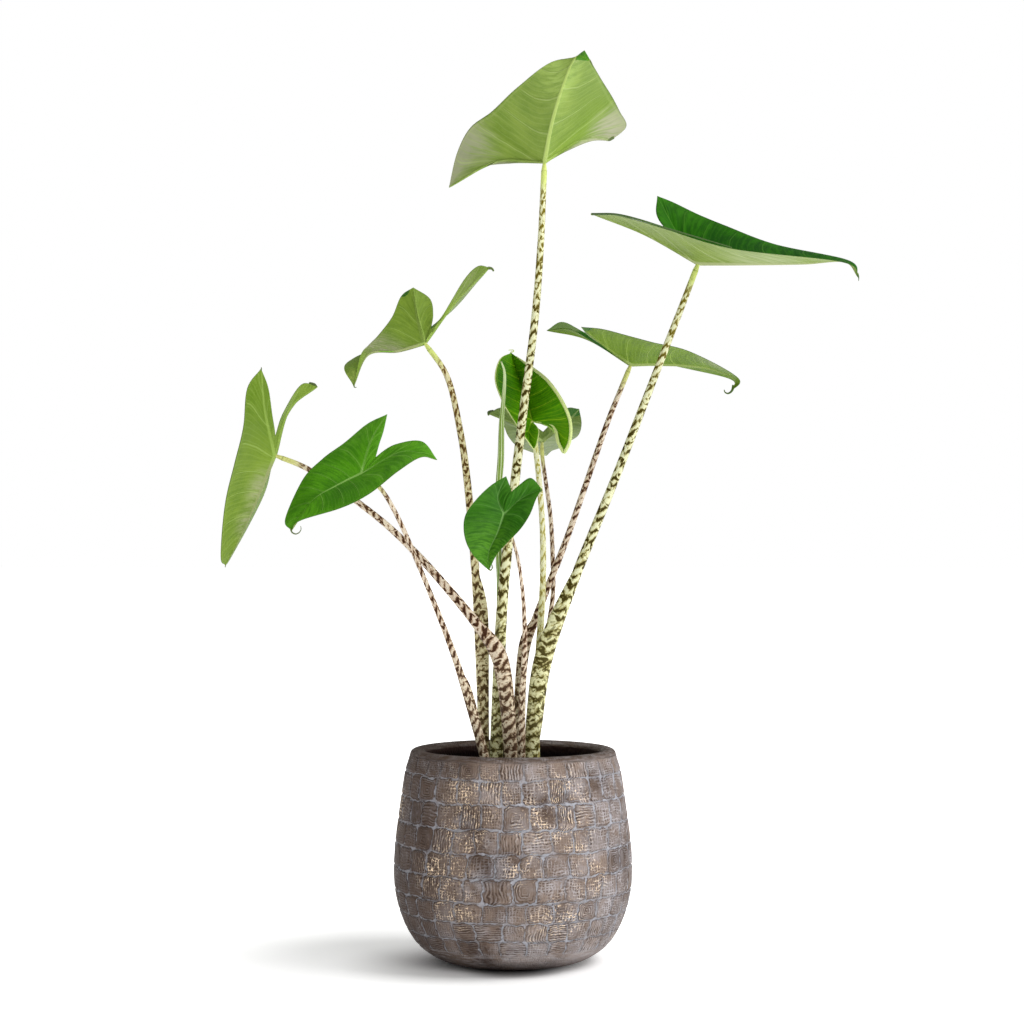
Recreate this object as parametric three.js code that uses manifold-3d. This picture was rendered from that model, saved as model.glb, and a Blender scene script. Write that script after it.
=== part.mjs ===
// A potted alocasia zebrina: nine arrow-shaped leaves on banded stalks and one leaf still rolled, in a
// bellied stoneware pot with a low relief of crackled tiles.
// Millimetres, +Z up. The origin is the middle of the pot's foot, and the pot stands on z = 0.
// The front of the plant looks along -Y.
import * as THREE from "three";
import { mergeVertices } from "three/addons/utils/BufferGeometryUtils.js";
import Module from "manifold-3d";

const wasm = await Module();
wasm.setup();

// Driving dimensions of the pot
const FOOT_RADIUS = 60;
const POT_HEIGHT = 222;
const FLOOR = 14;
const LIP_OUTER_RADIUS = 108;
const LIP_INNER_RADIUS = 93;
const TILE_COLUMNS = 30;
const GROOVE_DEPTH = 1.3;
const GROOVE_SHARE = 0.14; // of a tile's width or height, taken by half a groove
const TILE_JITTER = 0.3; // of a tile's width, how far a tile's edge strays
const ROW_TURN = 0.7; // of a tile's width, how far a row is turned from the one below

// Driving dimensions of the planting
const SOIL_LEVEL = 200;
const FOOT_DEPTH = 30; // how deep a stalk stands in the soil
const CORM_RADIUS = 46;
const CORM_HEIGHT = 50;
const GAP = 0.3; // left between touching pieces
const HOLE_CLEARANCE = 0.45; // round a stalk in its hole in the soil

// Driving dimensions of a leaf
const BLADE_THICKNESS = 1;
const RIB_HALF_WIDTH = 3.4;
const RIB_HEIGHT = 2.2;
const BLADE_ARCH = 0.035; // of the half blade's width, how far it arches between rib and margin
const BLADE_STEPS = 14; // from a lobe's tip to the leaf's tip
const NECK = 8; // the end of the stalk that belongs to the blade
const NECK_TIP_RADIUS = 1.2;
const STALK_SIDES = 8;
const STALK_STEPS = 14;

// The pot's outer wall from its foot to under the lip: [radius, height]
const POT_PROFILE = [
  [FOOT_RADIUS, 0],
  [75, 3],
  [88, 9.5],
  [101, 20],
  [112, 37],
  [119.5, 56],
  [124, 77],
  [125, 102],
  [123.5, 126],
  [120.5, 150],
  [117, 175],
  [113, 200],
  [LIP_OUTER_RADIUS + 1.2, 213],
];
// The lip from its outer edge to its top
const LIP_PROFILE = [
  [LIP_OUTER_RADIUS + 1.2, 213],
  [LIP_OUTER_RADIUS, POT_HEIGHT - 4],
  [LIP_OUTER_RADIUS - 2.5, POT_HEIGHT - 0.8],
  [LIP_OUTER_RADIUS - 7, POT_HEIGHT],
];
// The inner wall from the lip down to the floor
const INNER_WALL = [
  [LIP_INNER_RADIUS + 3, POT_HEIGHT - 1],
  [LIP_INNER_RADIUS, POT_HEIGHT - 5],
  [LIP_INNER_RADIUS + 1.5, POT_HEIGHT - 12],
  [99.5, SOIL_LEVEL],
  [109, 146],
  [111.5, 102],
  [105, 56],
  [84, FLOOR + 8],
  [70, FLOOR],
];
// Heights where one row of tiles ends and the next begins
const TILE_ROWS = [20, 37, 56, 77, 102, 126, 150, 175, 200, 213];

// Each leaf by the points that its ribs and edges pass through, the tip's end last. left and right are as
// seen on the upper side with the tip ahead. margin runs from the lobe's tip to the leaf's tip, costa is
// the middle of the lobe's rib, sinus runs from the lobe's tip to the notch between the lobes.
// stalk runs from the soil to the blade. girth is its radius at its foot in the soil, at each of its points
// and at the junction. A sheath's edge stands out beside the stalk, angle degrees round from the right
// towards the back, over a share of those points.
const LEAVES = [
  {
    name: "top",
    green: 0x86a84e,
    junction: [33, 0, 836],
    notch: [33, 0, 836],
    midrib: [[40, -38, 871], [51, -80, 904], [63, -116, 926], [75, -138, 913]],
    left: {
      lobe: [105, 62, 869],
      margin: [[122, 66, 885], [115, 62, 900], [105, 42, 914], [93, -6, 923], [73, -95, 936]],
      costa: [75, 38, 868],
      sinus: [[84, 44, 866], [58, 18, 852]],
    },
    right: {
      lobe: [-69, 65, 819],
      margin: [[-60, 66, 857], [-46, 56, 882], [-22, 38, 897], [5, -6, 915], [41, -78, 929]],
      costa: [-17, 40, 851],
      sinus: [[-35, 56, 839], [-1, 28, 840]],
    },
    stalk: [[-18, -2, 200], [-12, -2, 362], [-6, -1, 430], [9, -1, 561], [23, -1, 673], [29, 0, 750]],
    girth: [7.2, 7.3, 5.9, 5.3, 4.6, 4, 3.5, 3],
  },
  {
    name: "upper_right",
    green: 0x7fa64c,
    junction: [196, 20, 733],
    notch: [196, 20, 733],
    midrib: [[243, -8, 730], [300, -43, 727], [339, -69, 726], [352, -76, 709]],
    left: {
      lobe: [158, 112, 816],
      margin: [[181, 114, 807], [206, 100, 793], [230, 76, 779], [277, 30, 755], [344, -56, 729]],
      costa: [177, 72, 771],
      sinus: [[156, 82, 791], [170, 54, 766]],
    },
    right: {
      lobe: [84, 12, 784],
      margin: [[108, -18, 779], [131, -38, 771], [156, -47, 762], [223, -74, 739], [335, -80, 724]],
      costa: [140, 14, 763],
      sinus: [[127, 34, 773], [160, 30, 756]],
    },
    stalk: [
      [17.5, 0, 200],
      [23, 1, 250],
      [34, 3, 314],
      [67, 6, 405],
      [110, 10, 511],
      [134, 13, 573],
      [181, 18, 694],
    ],
    girth: [6, 6.4, 8.2, 7.4, 5.2, 4.5, 4.2, 3.3, 3],
    sheath: { angle: 175, from: 0.14, to: 0.5, width: 5 },
  },
  {
    name: "mid_right",
    green: 0x7ea24e,
    junction: [128, 90, 630],
    notch: [128, 90, 630],
    midrib: [[160, 102, 631], [211, 122, 629], [244, 130, 617], [241, 134, 603]],
    left: {
      lobe: [37, 116, 669],
      margin: [[54, 132, 679], [78, 142, 669], [110, 146, 654], [159, 150, 637], [239, 140, 618]],
      costa: [82, 108, 659],
      sinus: [[62, 96, 669], [97, 90, 648]],
    },
    right: {
      lobe: [72, 12, 665],
      margin: [[93, 12, 663], [119, 20, 657], [148, 36, 651], [191, 70, 643], [247, 118, 617]],
      costa: [97, 52, 649],
      sinus: [[82, 44, 657], [107, 68, 643]],
    },
    stalk: [[3, 16, 200], [12.5, 30, 321], [23.5, 36, 355], [57, 51, 440], [103, 77, 569], [116, 84, 601]],
    girth: [5.2, 5.2, 5, 4.2, 3.3, 2.9, 2.7, 2.6],
    sheath: { angle: 170, from: 0.14, to: 0.42, width: 3.5 },
  },
  {
    name: "upper_left",
    green: 0x7aa044,
    junction: [-94, 40, 650],
    notch: [-88, 50, 665],
    midrib: [[-121, 14, 640], [-151, -18, 634], [-165, -36, 600]],
    left: {
      lobe: [-108, 80, 713],
      margin: [[-121, 76, 703], [-130, 58, 679], [-143, 30, 658], [-152, 2, 645], [-159, -24, 632]],
      costa: [-103, 62, 681],
      sinus: [[-90, 82, 701], [-86, 68, 683]],
    },
    right: {
      lobe: [-22, 84, 733],
      margin: [[-38, 100, 721], [-66, 112, 691], [-104, 110, 663], [-137, 76, 648], [-176, 10, 626]],
      costa: [-63, 70, 695],
      sinus: [[-49, 72, 724], [-74, 62, 684]],
    },
    stalk: [[-30, 12, 200], [-36, 19, 344], [-41, 24, 422], [-50, 30, 515], [-56, 33, 555], [-71, 37, 616]],
    girth: [5.4, 5.4, 5, 4.3, 3.8, 3.5, 3, 2.7],
    sheath: { angle: 10, from: 0.12, to: 0.39, width: 6 },
  },
  {
    name: "far_left",
    green: 0x82a83c,
    junction: [-248, -20, 529],
    notch: [-248, -18, 549],
    midrib: [[-261, -24, 496], [-279, -20, 455], [-301, -8, 414]],
    left: {
      lobe: [-260, -44, 618],
      margin: [[-272, -62, 597], [-275, -74, 558], [-285, -70, 520], [-296, -54, 477], [-304, -24, 424]],
      costa: [-257, -36, 574],
      sinus: [[-253, -38, 598], [-250, -28, 570]],
    },
    right: {
      lobe: [-207, 26, 603],
      margin: [[-225, 48, 594], [-245, 58, 567], [-257, 52, 525], [-267, 42, 487], [-296, 6, 424]],
      costa: [-236, 12, 578],
      sinus: [[-223, 10, 604], [-241, -4, 574]],
    },
    stalk: [
      [-1, -15, 200],
      [-10, -19, 299],
      [-18.5, -20, 326],
      [-43, -19, 360],
      [-108, -18, 434],
      [-147, -19, 469],
      [-214, -20, 515],
    ],
    girth: [5.8, 6.6, 8, 7.6, 5.2, 3.6, 3.2, 2.8, 2.5],
    sheath: { angle: 0, from: 0.12, to: 0.46, width: 2 },
  },
  {
    name: "left",
    green: 0x2f7d1c,
    junction: [-154, -80, 509],
    notch: [-140, -74, 526],
    midrib: [[-176, -88, 498], [-202, -96, 482], [-224, -98, 451]],
    left: {
      lobe: [-77, -84, 523],
      margin: [[-93, -102, 525], [-115, -116, 511], [-143, -122, 489], [-173, -120, 474], [-215, -108, 461]],
      costa: [-112, -84, 531],
      sinus: [[-93, -76, 542], [-120, -72, 539]],
    },
    right: {
      lobe: [-130, -40, 571],
      margin: [[-152, -40, 560], [-175, -46, 540], [-196, -54, 524], [-215, -66, 504], [-231, -86, 463]],
      costa: [-145, -62, 544],
      sinus: [[-133, -56, 553], [-137, -66, 539]],
    },
    stalk: [
      [-25.5, -21, 200],
      [-49, -32, 284],
      [-61, -39, 322],
      [-95, -57, 411],
      [-121, -71, 471],
      [-136, -77, 495],
    ],
    girth: [4.9, 4.9, 4.2, 3.4, 2.5, 2.3, 2.2, 2.1],
    sheath: { angle: 15, from: 0.14, to: 0.34, width: 2.5 },
  },
  {
    name: "front",
    green: 0x2a7a22,
    junction: [-9, -130, 468],
    notch: [-2, -122, 490],
    midrib: [[-15, -137, 450], [-24, -144, 430], [-24, -146, 412]],
    left: {
      lobe: [29, -116, 493],
      margin: [[23, -130, 483], [17, -142, 468], [8, -149, 454], [-4, -152, 441], [-16, -151, 428]],
      costa: [8, -120, 483],
      sinus: [[18, -112, 504], [6, -116, 497]],
    },
    right: {
      lobe: [-7, -110, 506],
      margin: [[-23, -118, 496], [-38, -130, 481], [-48, -142, 465], [-48, -150, 446], [-40, -151, 428]],
      costa: [-15, -120, 485],
      sinus: [[-4, -113, 498], [-2, -118, 493]],
    },
    stalk: [[9, -29, 200], [9, -42, 261], [12, -72, 339], [10, -92, 386], [5, -108, 422], [-1, -119, 444]],
    girth: [4.1, 4.1, 3.9, 2.6, 2, 1.6, 1.5, 1.5],
  },
  {
    name: "young",
    green: 0x5f9c12,
    junction: [20, 38, 567],
    notch: [20, 38, 567],
    midrib: [[15, 58, 590], [6, 78, 616], [-2, 90, 643]],
    left: {
      lobe: [22, 20, 536],
      margin: [[12, 16, 550], [0, 16, 568], [-12, 20, 589], [-19, 36, 612], [-14, 64, 634]],
      costa: [16, 30, 552],
      sinus: [[25, 20, 542], [27, 28, 557]],
    },
    right: {
      lobe: [54, 14, 532],
      margin: [[60, 10, 546], [60, 8, 566], [51, 12, 588], [36, 28, 610], [17, 60, 627]],
      costa: [42, 28, 558],
      sinus: [[48, 18, 543], [42, 26, 562]],
    },
    stalk: [[25, 20, 200], [25, 23, 281], [31, 27, 378], [32, 30, 421], [31, 32, 461], [25, 36, 531]],
    girth: [3.6, 3.6, 3.6, 3.5, 3.2, 3, 3, 2.8],
  },
  {
    name: "back",
    green: 0x7d9656,
    junction: [32, 120, 547],
    notch: [33, 114, 558],
    midrib: [[32, 150, 542], [35, 184, 537], [38, 214, 534]],
    left: {
      lobe: [-27, 92, 577],
      margin: [[-13, 108, 571], [-6, 134, 555], [3, 164, 545], [15, 190, 540], [27, 208, 536]],
      costa: [1, 104, 566],
      sinus: [[-10, 84, 583], [14, 98, 570]],
    },
    right: {
      lobe: [72, 92, 582],
      margin: [[75, 106, 566], [72, 134, 554], [63, 164, 548], [53, 190, 543], [44, 206, 539]],
      costa: [55, 104, 565],
      sinus: [[58, 88, 582], [41, 102, 566]],
    },
    stalk: [[13, 33, 200], [27, 48, 290], [43, 71, 380], [43, 82, 420], [41, 94, 463], [32, 115, 533]],
    girth: [2.7, 2.7, 2.7, 2.5, 2.4, 2.3, 2.2, 2.2],
  },
];

// The leaf that is still rolled, from the soil to its tip
const SPEAR = {
  stalk: [
    [-17, 13, 200],
    [-16, 13, 282],
    [-14, 9, 388],
    [-15, 6, 425],
    [-15, 4, 498],
    [-13, 5, 525],
    [-12, 6, 562],
    [-9, 11, 618],
    [-12.5, 14, 629],
  ],
  girth: [3, 3, 3, 3.1, 3.2, 3.7, 4, 3.7, 1.8, 1],
};

const UP = new THREE.Vector3(0, 0, 1);
const vector = ([x, y, z]) => new THREE.Vector3(x, y, z);

// A smooth curve through these points, each the same step of its parameter after the last.
function curveThrough(points, type = "catmullrom") {
  return new THREE.CatmullRomCurve3(points.map(vector), false, type, 0.5);
}

// Geometry with shared vertices from a list of triangles of vectors. A triangle that has shrunk to a line
// is left out.
function geometryOf(triangles) {
  const full = triangles.filter(
    ([a, b, c]) => a.distanceTo(b) > 1e-3 && b.distanceTo(c) > 1e-3 && c.distanceTo(a) > 1e-3,
  );
  const corners = full.flat().flatMap((p) => [p.x, p.y, p.z]);
  const geometry = new THREE.BufferGeometry();
  geometry.setAttribute("position", new THREE.Float32BufferAttribute(corners, 3));
  return mergeVertices(geometry, 1e-3);
}

// A geometry as a solid that can be cut and joined, and a solid as a geometry.
function solidOf(geometry) {
  const bare = geometry.clone();
  bare.deleteAttribute("normal");
  bare.deleteAttribute("uv");
  const merged = mergeVertices(bare, 1e-3);
  const mesh = new wasm.Mesh({
    numProp: 3,
    vertProperties: merged.attributes.position.array,
    triVerts: new Uint32Array(merged.index.array),
  });
  return new wasm.Manifold(mesh);
}

function fromSolid(solid) {
  const mesh = solid.getMesh();
  const geometry = new THREE.BufferGeometry();
  geometry.setAttribute("position", new THREE.BufferAttribute(mesh.vertProperties, 3));
  geometry.setIndex(new THREE.BufferAttribute(mesh.triVerts, 1));
  return geometry;
}

// A closed skin over rings of points, each ring counter-clockwise from above. A ring of one point is a
// pole.
function skinOver(rings) {
  const triangles = [];
  const count = Math.max(...rings.map((ring) => ring.length));
  const at = (ring, j) => ring[ring.length === 1 ? 0 : j % count];
  for (let i = 0; i + 1 < rings.length; i++) {
    for (let j = 0; j < count; j++) {
      const near = at(rings[i], j);
      const nearNext = at(rings[i], j + 1);
      const far = at(rings[i + 1], j);
      const farNext = at(rings[i + 1], j + 1);
      triangles.push([near, nearNext, farNext], [near, farNext, far]);
    }
  }
  return geometryOf(triangles);
}

// A repeatable draw from 0 to 1.
function seededDraw(seed) {
  let state = seed;
  return () => {
    state = (state * 1664525 + 1013904223) % 4294967296;
    return state / 4294967296;
  };
}

// A list of evenly spaced values as a function of the share of the way along it.
function evenSteps(values) {
  return (share) => {
    const place = Math.min(Math.max(share, 0), 1) * (values.length - 1);
    const before = Math.min(Math.floor(place), values.length - 2);
    return THREE.MathUtils.lerp(values[before], values[before + 1], place - before);
  };
}

// How far the sheath's edge stands out beside a stalk: it swells slowly from the soil up and ends soon.
function sheathWidth(sheath, share) {
  if (!sheath || share <= sheath.from || share >= sheath.to) return 0;
  const place = (share - sheath.from) / (sheath.to - sheath.from);
  return sheath.width * Math.sin(Math.PI * place ** 2);
}

// Part of a stalk between two shares of its curve's parameter: rings square to the curve, closed at both
// ends, and the foot cut level. girth gives the radius at a share. rows is how many of the steps are made.
function stalkGeometry(shape) {
  const { curve, girth, sheath, from = 0, to = 1, steps = STALK_STEPS, rows = steps, grow = 0 } = shape;
  const rings = [];
  for (let i = 0; i <= rows; i++) {
    const share = from + ((to - from) * i) / steps;
    const centre = curve.getPoint(share);
    const forward = share === 0 ? UP : curve.getTangent(share);
    const across = new THREE.Vector3(0, 1, 0).cross(forward).normalize();
    const deep = forward.clone().cross(across);
    const radius = girth(share) + grow;
    const edge = sheathWidth(sheath, share);
    const ring = [];
    for (let j = 0; j < STALK_SIDES; j++) {
      const angle = (2 * Math.PI * j) / STALK_SIDES;
      const lean = sheath ? Math.max(0, Math.cos(angle - THREE.MathUtils.degToRad(sheath.angle))) : 0;
      const reach = radius + edge * lean ** 3;
      const point = centre.clone();
      point.addScaledVector(across, reach * Math.cos(angle));
      point.addScaledVector(deep, reach * Math.sin(angle));
      ring.push(point);
    }
    if (i === 0) rings.push([centre]);
    rings.push(ring);
    if (i === rows) rings.push([centre]);
  }
  return skinOver(rings);
}

// The line of a stalk: from its foot in the soil, leaning to the side as it does above, then through its
// points to its end.
function stalkCurve(points) {
  const [[x, y, z], [nextX, , nextZ]] = points;
  const lean = (FOOT_DEPTH * (nextX - x)) / (nextZ - z);
  return curveThrough([[x - lean, y, z - FOOT_DEPTH], ...points], "centripetal");
}

// One half of a blade as a surface of u and v. u is -1 at the lobe's tip, 0 at the junction and 1 at the
// leaf's tip. v is 0 on the rib and 1 on the margin. The half arches a little between the two.
function halfBlade(leaf, side) {
  const midrib = curveThrough([leaf.junction, ...leaf.midrib]);
  const costa = curveThrough([leaf.junction, side.costa, side.lobe]);
  const margin = curveThrough([side.lobe, ...side.margin, leaf.midrib.at(-1)]);
  const sinus = curveThrough([leaf.notch, side.sinus[1], side.sinus[0], side.lobe]);
  const rib = (u) => (u < 0 ? costa.getPoint(-u) : midrib.getPoint(u));
  const ribDirection = (u) => {
    const ahead = Math.min(1, u + 0.08);
    const behind = Math.max(-1, u - 0.08);
    return rib(ahead).sub(rib(behind)).normalize();
  };
  return {
    outer: (u) => ({ start: rib(u), end: margin.getPoint((u + 1) / 2), along: ribDirection(u) }),
    inner: (t) => ({ start: costa.getPoint(t), end: sinus.getPoint(t), along: ribDirection(-t).negate() }),
  };
}

// A blade as a sheet of shared vertices and triangles that face its upper side. rise is how far the rib
// stands out under each vertex.
function bladeSheet(leaf) {
  const sheet = { points: [], rise: [], faces: [] };
  const known = new Map();
  const vertex = (point, rise) => {
    const key = point.toArray().map((c) => Math.round(c * 200)).join(" ");
    if (!known.has(key)) {
      known.set(key, sheet.points.length);
      sheet.points.push(point);
      sheet.rise.push(rise);
    }
    return known.get(key);
  };
  const strip = (lineAt, from, to, steps, levels, flip) => {
    const rows = [];
    for (let i = 0; i <= steps; i++) {
      const u = from + ((to - from) * i) / steps;
      const { start, end, along } = lineAt(u);
      const across = end.clone().sub(start);
      const width = across.length();
      const up = along.clone().cross(across).normalize().multiplyScalar(flip ? -1 : 1);
      const ribEdge = width > 0 ? Math.min(0.3, RIB_HALF_WIDTH / width) : 0;
      const row = levels.map((level) => {
        const v = level === 0 ? 0 : ribEdge + (1 - ribEdge) * (level - 1) / (levels.length - 2);
        const point = start.clone().addScaledVector(across, v);
        point.addScaledVector(up, BLADE_ARCH * width * 4 * v * (1 - v));
        return vertex(point, v === 0 ? RIB_HEIGHT * (1 - Math.abs(u)) : 0);
      });
      rows.push(row);
    }
    for (let i = 0; i < steps; i++) {
      for (let j = 0; j + 1 < levels.length; j++) {
        const [a, b, c, d] = [rows[i][j], rows[i + 1][j], rows[i + 1][j + 1], rows[i][j + 1]];
        for (const [p, q, r] of [[a, b, c], [a, c, d]]) {
          if (p !== q && q !== r && r !== p) sheet.faces.push(flip ? [p, r, q] : [p, q, r]);
        }
      }
    }
  };
  for (const [side, flip] of [[leaf.left, false], [leaf.right, true]]) {
    const half = halfBlade(leaf, side);
    strip(half.outer, -1, 1, BLADE_STEPS, [0, 1, 2, 3], flip);
    strip(half.inner, 0, 1, BLADE_STEPS / 2, [0, 1, 2], flip);
  }
  return sheet;
}

// A sheet given its thickness: the same triangles above and below, the ribs standing out below, and a
// wall along every free edge.
function thickened(sheet) {
  const normals = sheet.points.map(() => new THREE.Vector3());
  for (const [a, b, c] of sheet.faces) {
    const [p, q, r] = [sheet.points[a], sheet.points[b], sheet.points[c]];
    const square = q.clone().sub(p).cross(r.clone().sub(p));
    for (const corner of [a, b, c]) normals[corner].add(square);
  }
  const half = BLADE_THICKNESS / 2;
  const above = sheet.points.map((p, i) => p.clone().addScaledVector(normals[i].normalize(), half));
  const below = sheet.points.map((p, i) => p.clone().addScaledVector(normals[i], -half - sheet.rise[i]));
  const edges = new Map();
  const triangles = [];
  for (const [a, b, c] of sheet.faces) {
    triangles.push([above[a], above[b], above[c]], [below[c], below[b], below[a]]);
    for (const [p, q] of [[a, b], [b, c], [c, a]]) {
      if (edges.has(`${q} ${p}`)) edges.delete(`${q} ${p}`);
      else edges.set(`${p} ${q}`, [p, q]);
    }
  }
  for (const [p, q] of edges.values()) {
    triangles.push([above[q], above[p], below[p]], [above[q], below[p], below[q]]);
  }
  return geometryOf(triangles);
}

// The share of a stalk curve's parameter at this distance before its end.
function shareBeforeEnd(curve, distance) {
  return curve.getUtoTmapping(1 - distance / curve.getLength());
}

function bladeGeometry(leaf) {
  const curve = stalkCurve([...leaf.stalk, leaf.junction]);
  const start = shareBeforeEnd(curve, NECK);
  const girth = (share) => THREE.MathUtils.mapLinear(share, start, 1, leaf.girth.at(-1), NECK_TIP_RADIUS);
  const neck = stalkGeometry({ curve, girth, from: start, steps: 2 });
  return fromSolid(solidOf(thickened(bladeSheet(leaf))).add(solidOf(neck)));
}

// What a leaf's stalk is made of, up to a gap before its blade's neck.
function petioleShape(leaf) {
  const curve = stalkCurve([...leaf.stalk, leaf.junction]);
  const to = shareBeforeEnd(curve, NECK + GAP);
  return { curve, to, girth: evenSteps(leaf.girth), sheath: leaf.sheath };
}

function spearShape() {
  return { curve: stalkCurve(SPEAR.stalk), steps: 18, girth: evenSteps(SPEAR.girth) };
}

// A hole a little wider than the foot of this stalk, open below and above the soil's top.
function holeFor(shape) {
  return stalkGeometry({ ...shape, rows: 3, grow: HOLE_CLEARANCE }).translate(0, 0, -0.1);
}

// The corm from its underside to its flat top, in plan a circle: [radius, height]
function cormProfile(grow) {
  const top = SOIL_LEVEL - FOOT_DEPTH - GAP;
  const bottom = top - CORM_HEIGHT;
  return [
    [0, bottom - grow],
    [0.5 * CORM_RADIUS, bottom + 2 - grow],
    [0.84 * CORM_RADIUS + grow, bottom + 12],
    [CORM_RADIUS + grow, bottom + 28],
    [CORM_RADIUS + grow, bottom + 40],
    [0.95 * CORM_RADIUS + grow, top + grow],
    [0, top + grow],
  ];
}

function turned(profile, segments) {
  const outline = profile.map(([radius, height]) => new THREE.Vector2(radius, height));
  const geometry = new THREE.LatheGeometry(outline, segments);
  geometry.rotateX(Math.PI / 2);
  return geometry;
}

// The mix fills the pot, a little domed, and is cut out round the corm and round every stalk.
function soilGeometry() {
  const below = INNER_WALL.filter(([, height]) => height <= SOIL_LEVEL);
  const wall = below.map(([radius, height]) => [radius - 1.5 * GAP, height]).reverse();
  wall[0][1] += GAP;
  const rim = wall.pop();
  const profile = [
    [0, FLOOR + GAP],
    ...wall,
    [rim[0], SOIL_LEVEL - 3],
    [rim[0] - 12, SOIL_LEVEL - 1.5],
    [60, SOIL_LEVEL],
    [0, SOIL_LEVEL + 1.5],
  ];
  let soil = solidOf(turned(profile, 39)).subtract(solidOf(turned(cormProfile(GAP), 24)));
  for (const shape of [...LEAVES.map(petioleShape), spearShape()]) {
    soil = soil.subtract(solidOf(holeFor(shape)));
  }
  return fromSolid(soil);
}

// The angles of one row's columns. Each tile takes three: the groove on its left and the two edges of its
// face.
function tileColumns(turn, draw) {
  const edges = [];
  for (let k = 0; k < TILE_COLUMNS; k++) edges.push(k + turn + TILE_JITTER * (draw() - 0.5));
  edges.push(edges[0] + TILE_COLUMNS);
  const places = [];
  for (let k = 0; k < TILE_COLUMNS; k++) {
    const groove = GROOVE_SHARE * (edges[k + 1] - edges[k]);
    places.push(edges[k], edges[k] + groove, edges[k + 1] - groove);
  }
  return places.map((place) => (2 * Math.PI * place) / TILE_COLUMNS);
}

// The pot's outer radius at a height, over the tiles' faces.
function outerRadius(height) {
  const next = POT_PROFILE.findIndex(([, h]) => h >= height);
  const [r0, h0] = POT_PROFILE[next - 1];
  const [r1, h1] = POT_PROFILE[next];
  return THREE.MathUtils.mapLinear(height, h0, h1, r0, r1);
}

// The pot: rings of points up its outside, closed over the lip, with its inside cut out. A row's tiles
// have drawn widths, and each row is turned a little from the last.
function potGeometry() {
  const draw = seededDraw(7);
  const ring = (angles, height, radiusAt) =>
    angles.map((angle, j) => {
      const radius = radiusAt(j);
      return new THREE.Vector3(radius * Math.cos(angle), radius * Math.sin(angle), height);
    });
  let turn = 0;
  let angles = tileColumns(turn, draw);
  const rings = [[new THREE.Vector3(0, 0, 0)]];
  for (const [radius, height] of POT_PROFILE.filter(([, h]) => h < TILE_ROWS[0])) {
    rings.push(ring(angles, height, () => radius));
  }
  for (let row = 0; row + 1 < TILE_ROWS.length; row++) {
    const [low, high] = [TILE_ROWS[row], TILE_ROWS[row + 1]];
    const band = GROOVE_SHARE * (high - low);
    rings.push(ring(angles, low, () => outerRadius(low) - GROOVE_DEPTH));
    for (const height of [low + band, high - band]) {
      const face = outerRadius(height);
      rings.push(ring(angles, height, (j) => (j % 3 === 0 ? face - GROOVE_DEPTH : face)));
    }
    turn += ROW_TURN * (draw() - 0.5);
    angles = tileColumns(turn, draw);
  }
  for (const [radius, height] of LIP_PROFILE) rings.push(ring(angles, height, () => radius));
  rings.push([new THREE.Vector3(0, 0, POT_HEIGHT)]);
  const inside = [[0, POT_HEIGHT + 1], [LIP_INNER_RADIUS + 8, POT_HEIGHT + 1], ...INNER_WALL, [0, FLOOR]];
  return fromSolid(solidOf(skinOver(rings)).subtract(solidOf(turned(inside.reverse(), 45))));
}

const plant = new THREE.Group();

function addPiece(name, geometry, colour, roughness) {
  const material = new THREE.MeshStandardMaterial({ color: colour, roughness, metalness: 0 });
  const mesh = new THREE.Mesh(geometry, material);
  mesh.name = name;
  plant.add(mesh);
}

addPiece("pot", potGeometry(), 0x6e625a, 0.75);
addPiece("soil", soilGeometry(), 0x2a1a12, 0.95);
addPiece("corm", turned(cormProfile(0), 24), 0x6b4a2c, 0.9);
for (const leaf of LEAVES) {
  addPiece(`petiole_${leaf.name}`, stalkGeometry(petioleShape(leaf)), 0xcfc9a0, 0.5);
  addPiece(`blade_${leaf.name}`, bladeGeometry(leaf), leaf.green, 0.45);
}
addPiece("spear", stalkGeometry(spearShape()), 0xa9c67c, 0.45);

export default plant;
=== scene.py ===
"""A potted alocasia zebrina, dressed for a studio picture.

Nine leaves on banded stalks and one leaf still rolled stand in a bellied stoneware pot with crackled
tiles. Sizes are in millimetres in the part's own frame and become metres when a mesh is made. The leaves'
rib and margin points are those of the part's source.
"""

import logging
import math
from dataclasses import dataclass, field
from enum import Enum

import bpy
import numpy as np
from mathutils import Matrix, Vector


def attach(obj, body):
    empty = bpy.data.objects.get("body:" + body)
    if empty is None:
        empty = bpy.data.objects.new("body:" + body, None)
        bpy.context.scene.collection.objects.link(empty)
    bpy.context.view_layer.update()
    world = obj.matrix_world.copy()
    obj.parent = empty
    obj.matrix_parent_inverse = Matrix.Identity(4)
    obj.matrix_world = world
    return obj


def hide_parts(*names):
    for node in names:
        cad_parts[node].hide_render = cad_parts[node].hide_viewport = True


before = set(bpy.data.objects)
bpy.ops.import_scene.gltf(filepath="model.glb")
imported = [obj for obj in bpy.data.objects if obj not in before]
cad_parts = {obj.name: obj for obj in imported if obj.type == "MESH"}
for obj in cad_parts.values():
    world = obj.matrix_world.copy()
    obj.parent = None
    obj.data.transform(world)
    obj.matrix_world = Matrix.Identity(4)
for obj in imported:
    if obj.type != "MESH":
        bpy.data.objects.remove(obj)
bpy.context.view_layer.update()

log = logging.getLogger("zebrina")
Array = np.ndarray
Point = tuple[float, float, float]
Point2 = tuple[float, float]
Colour = tuple[float, float, float, float]

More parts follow.
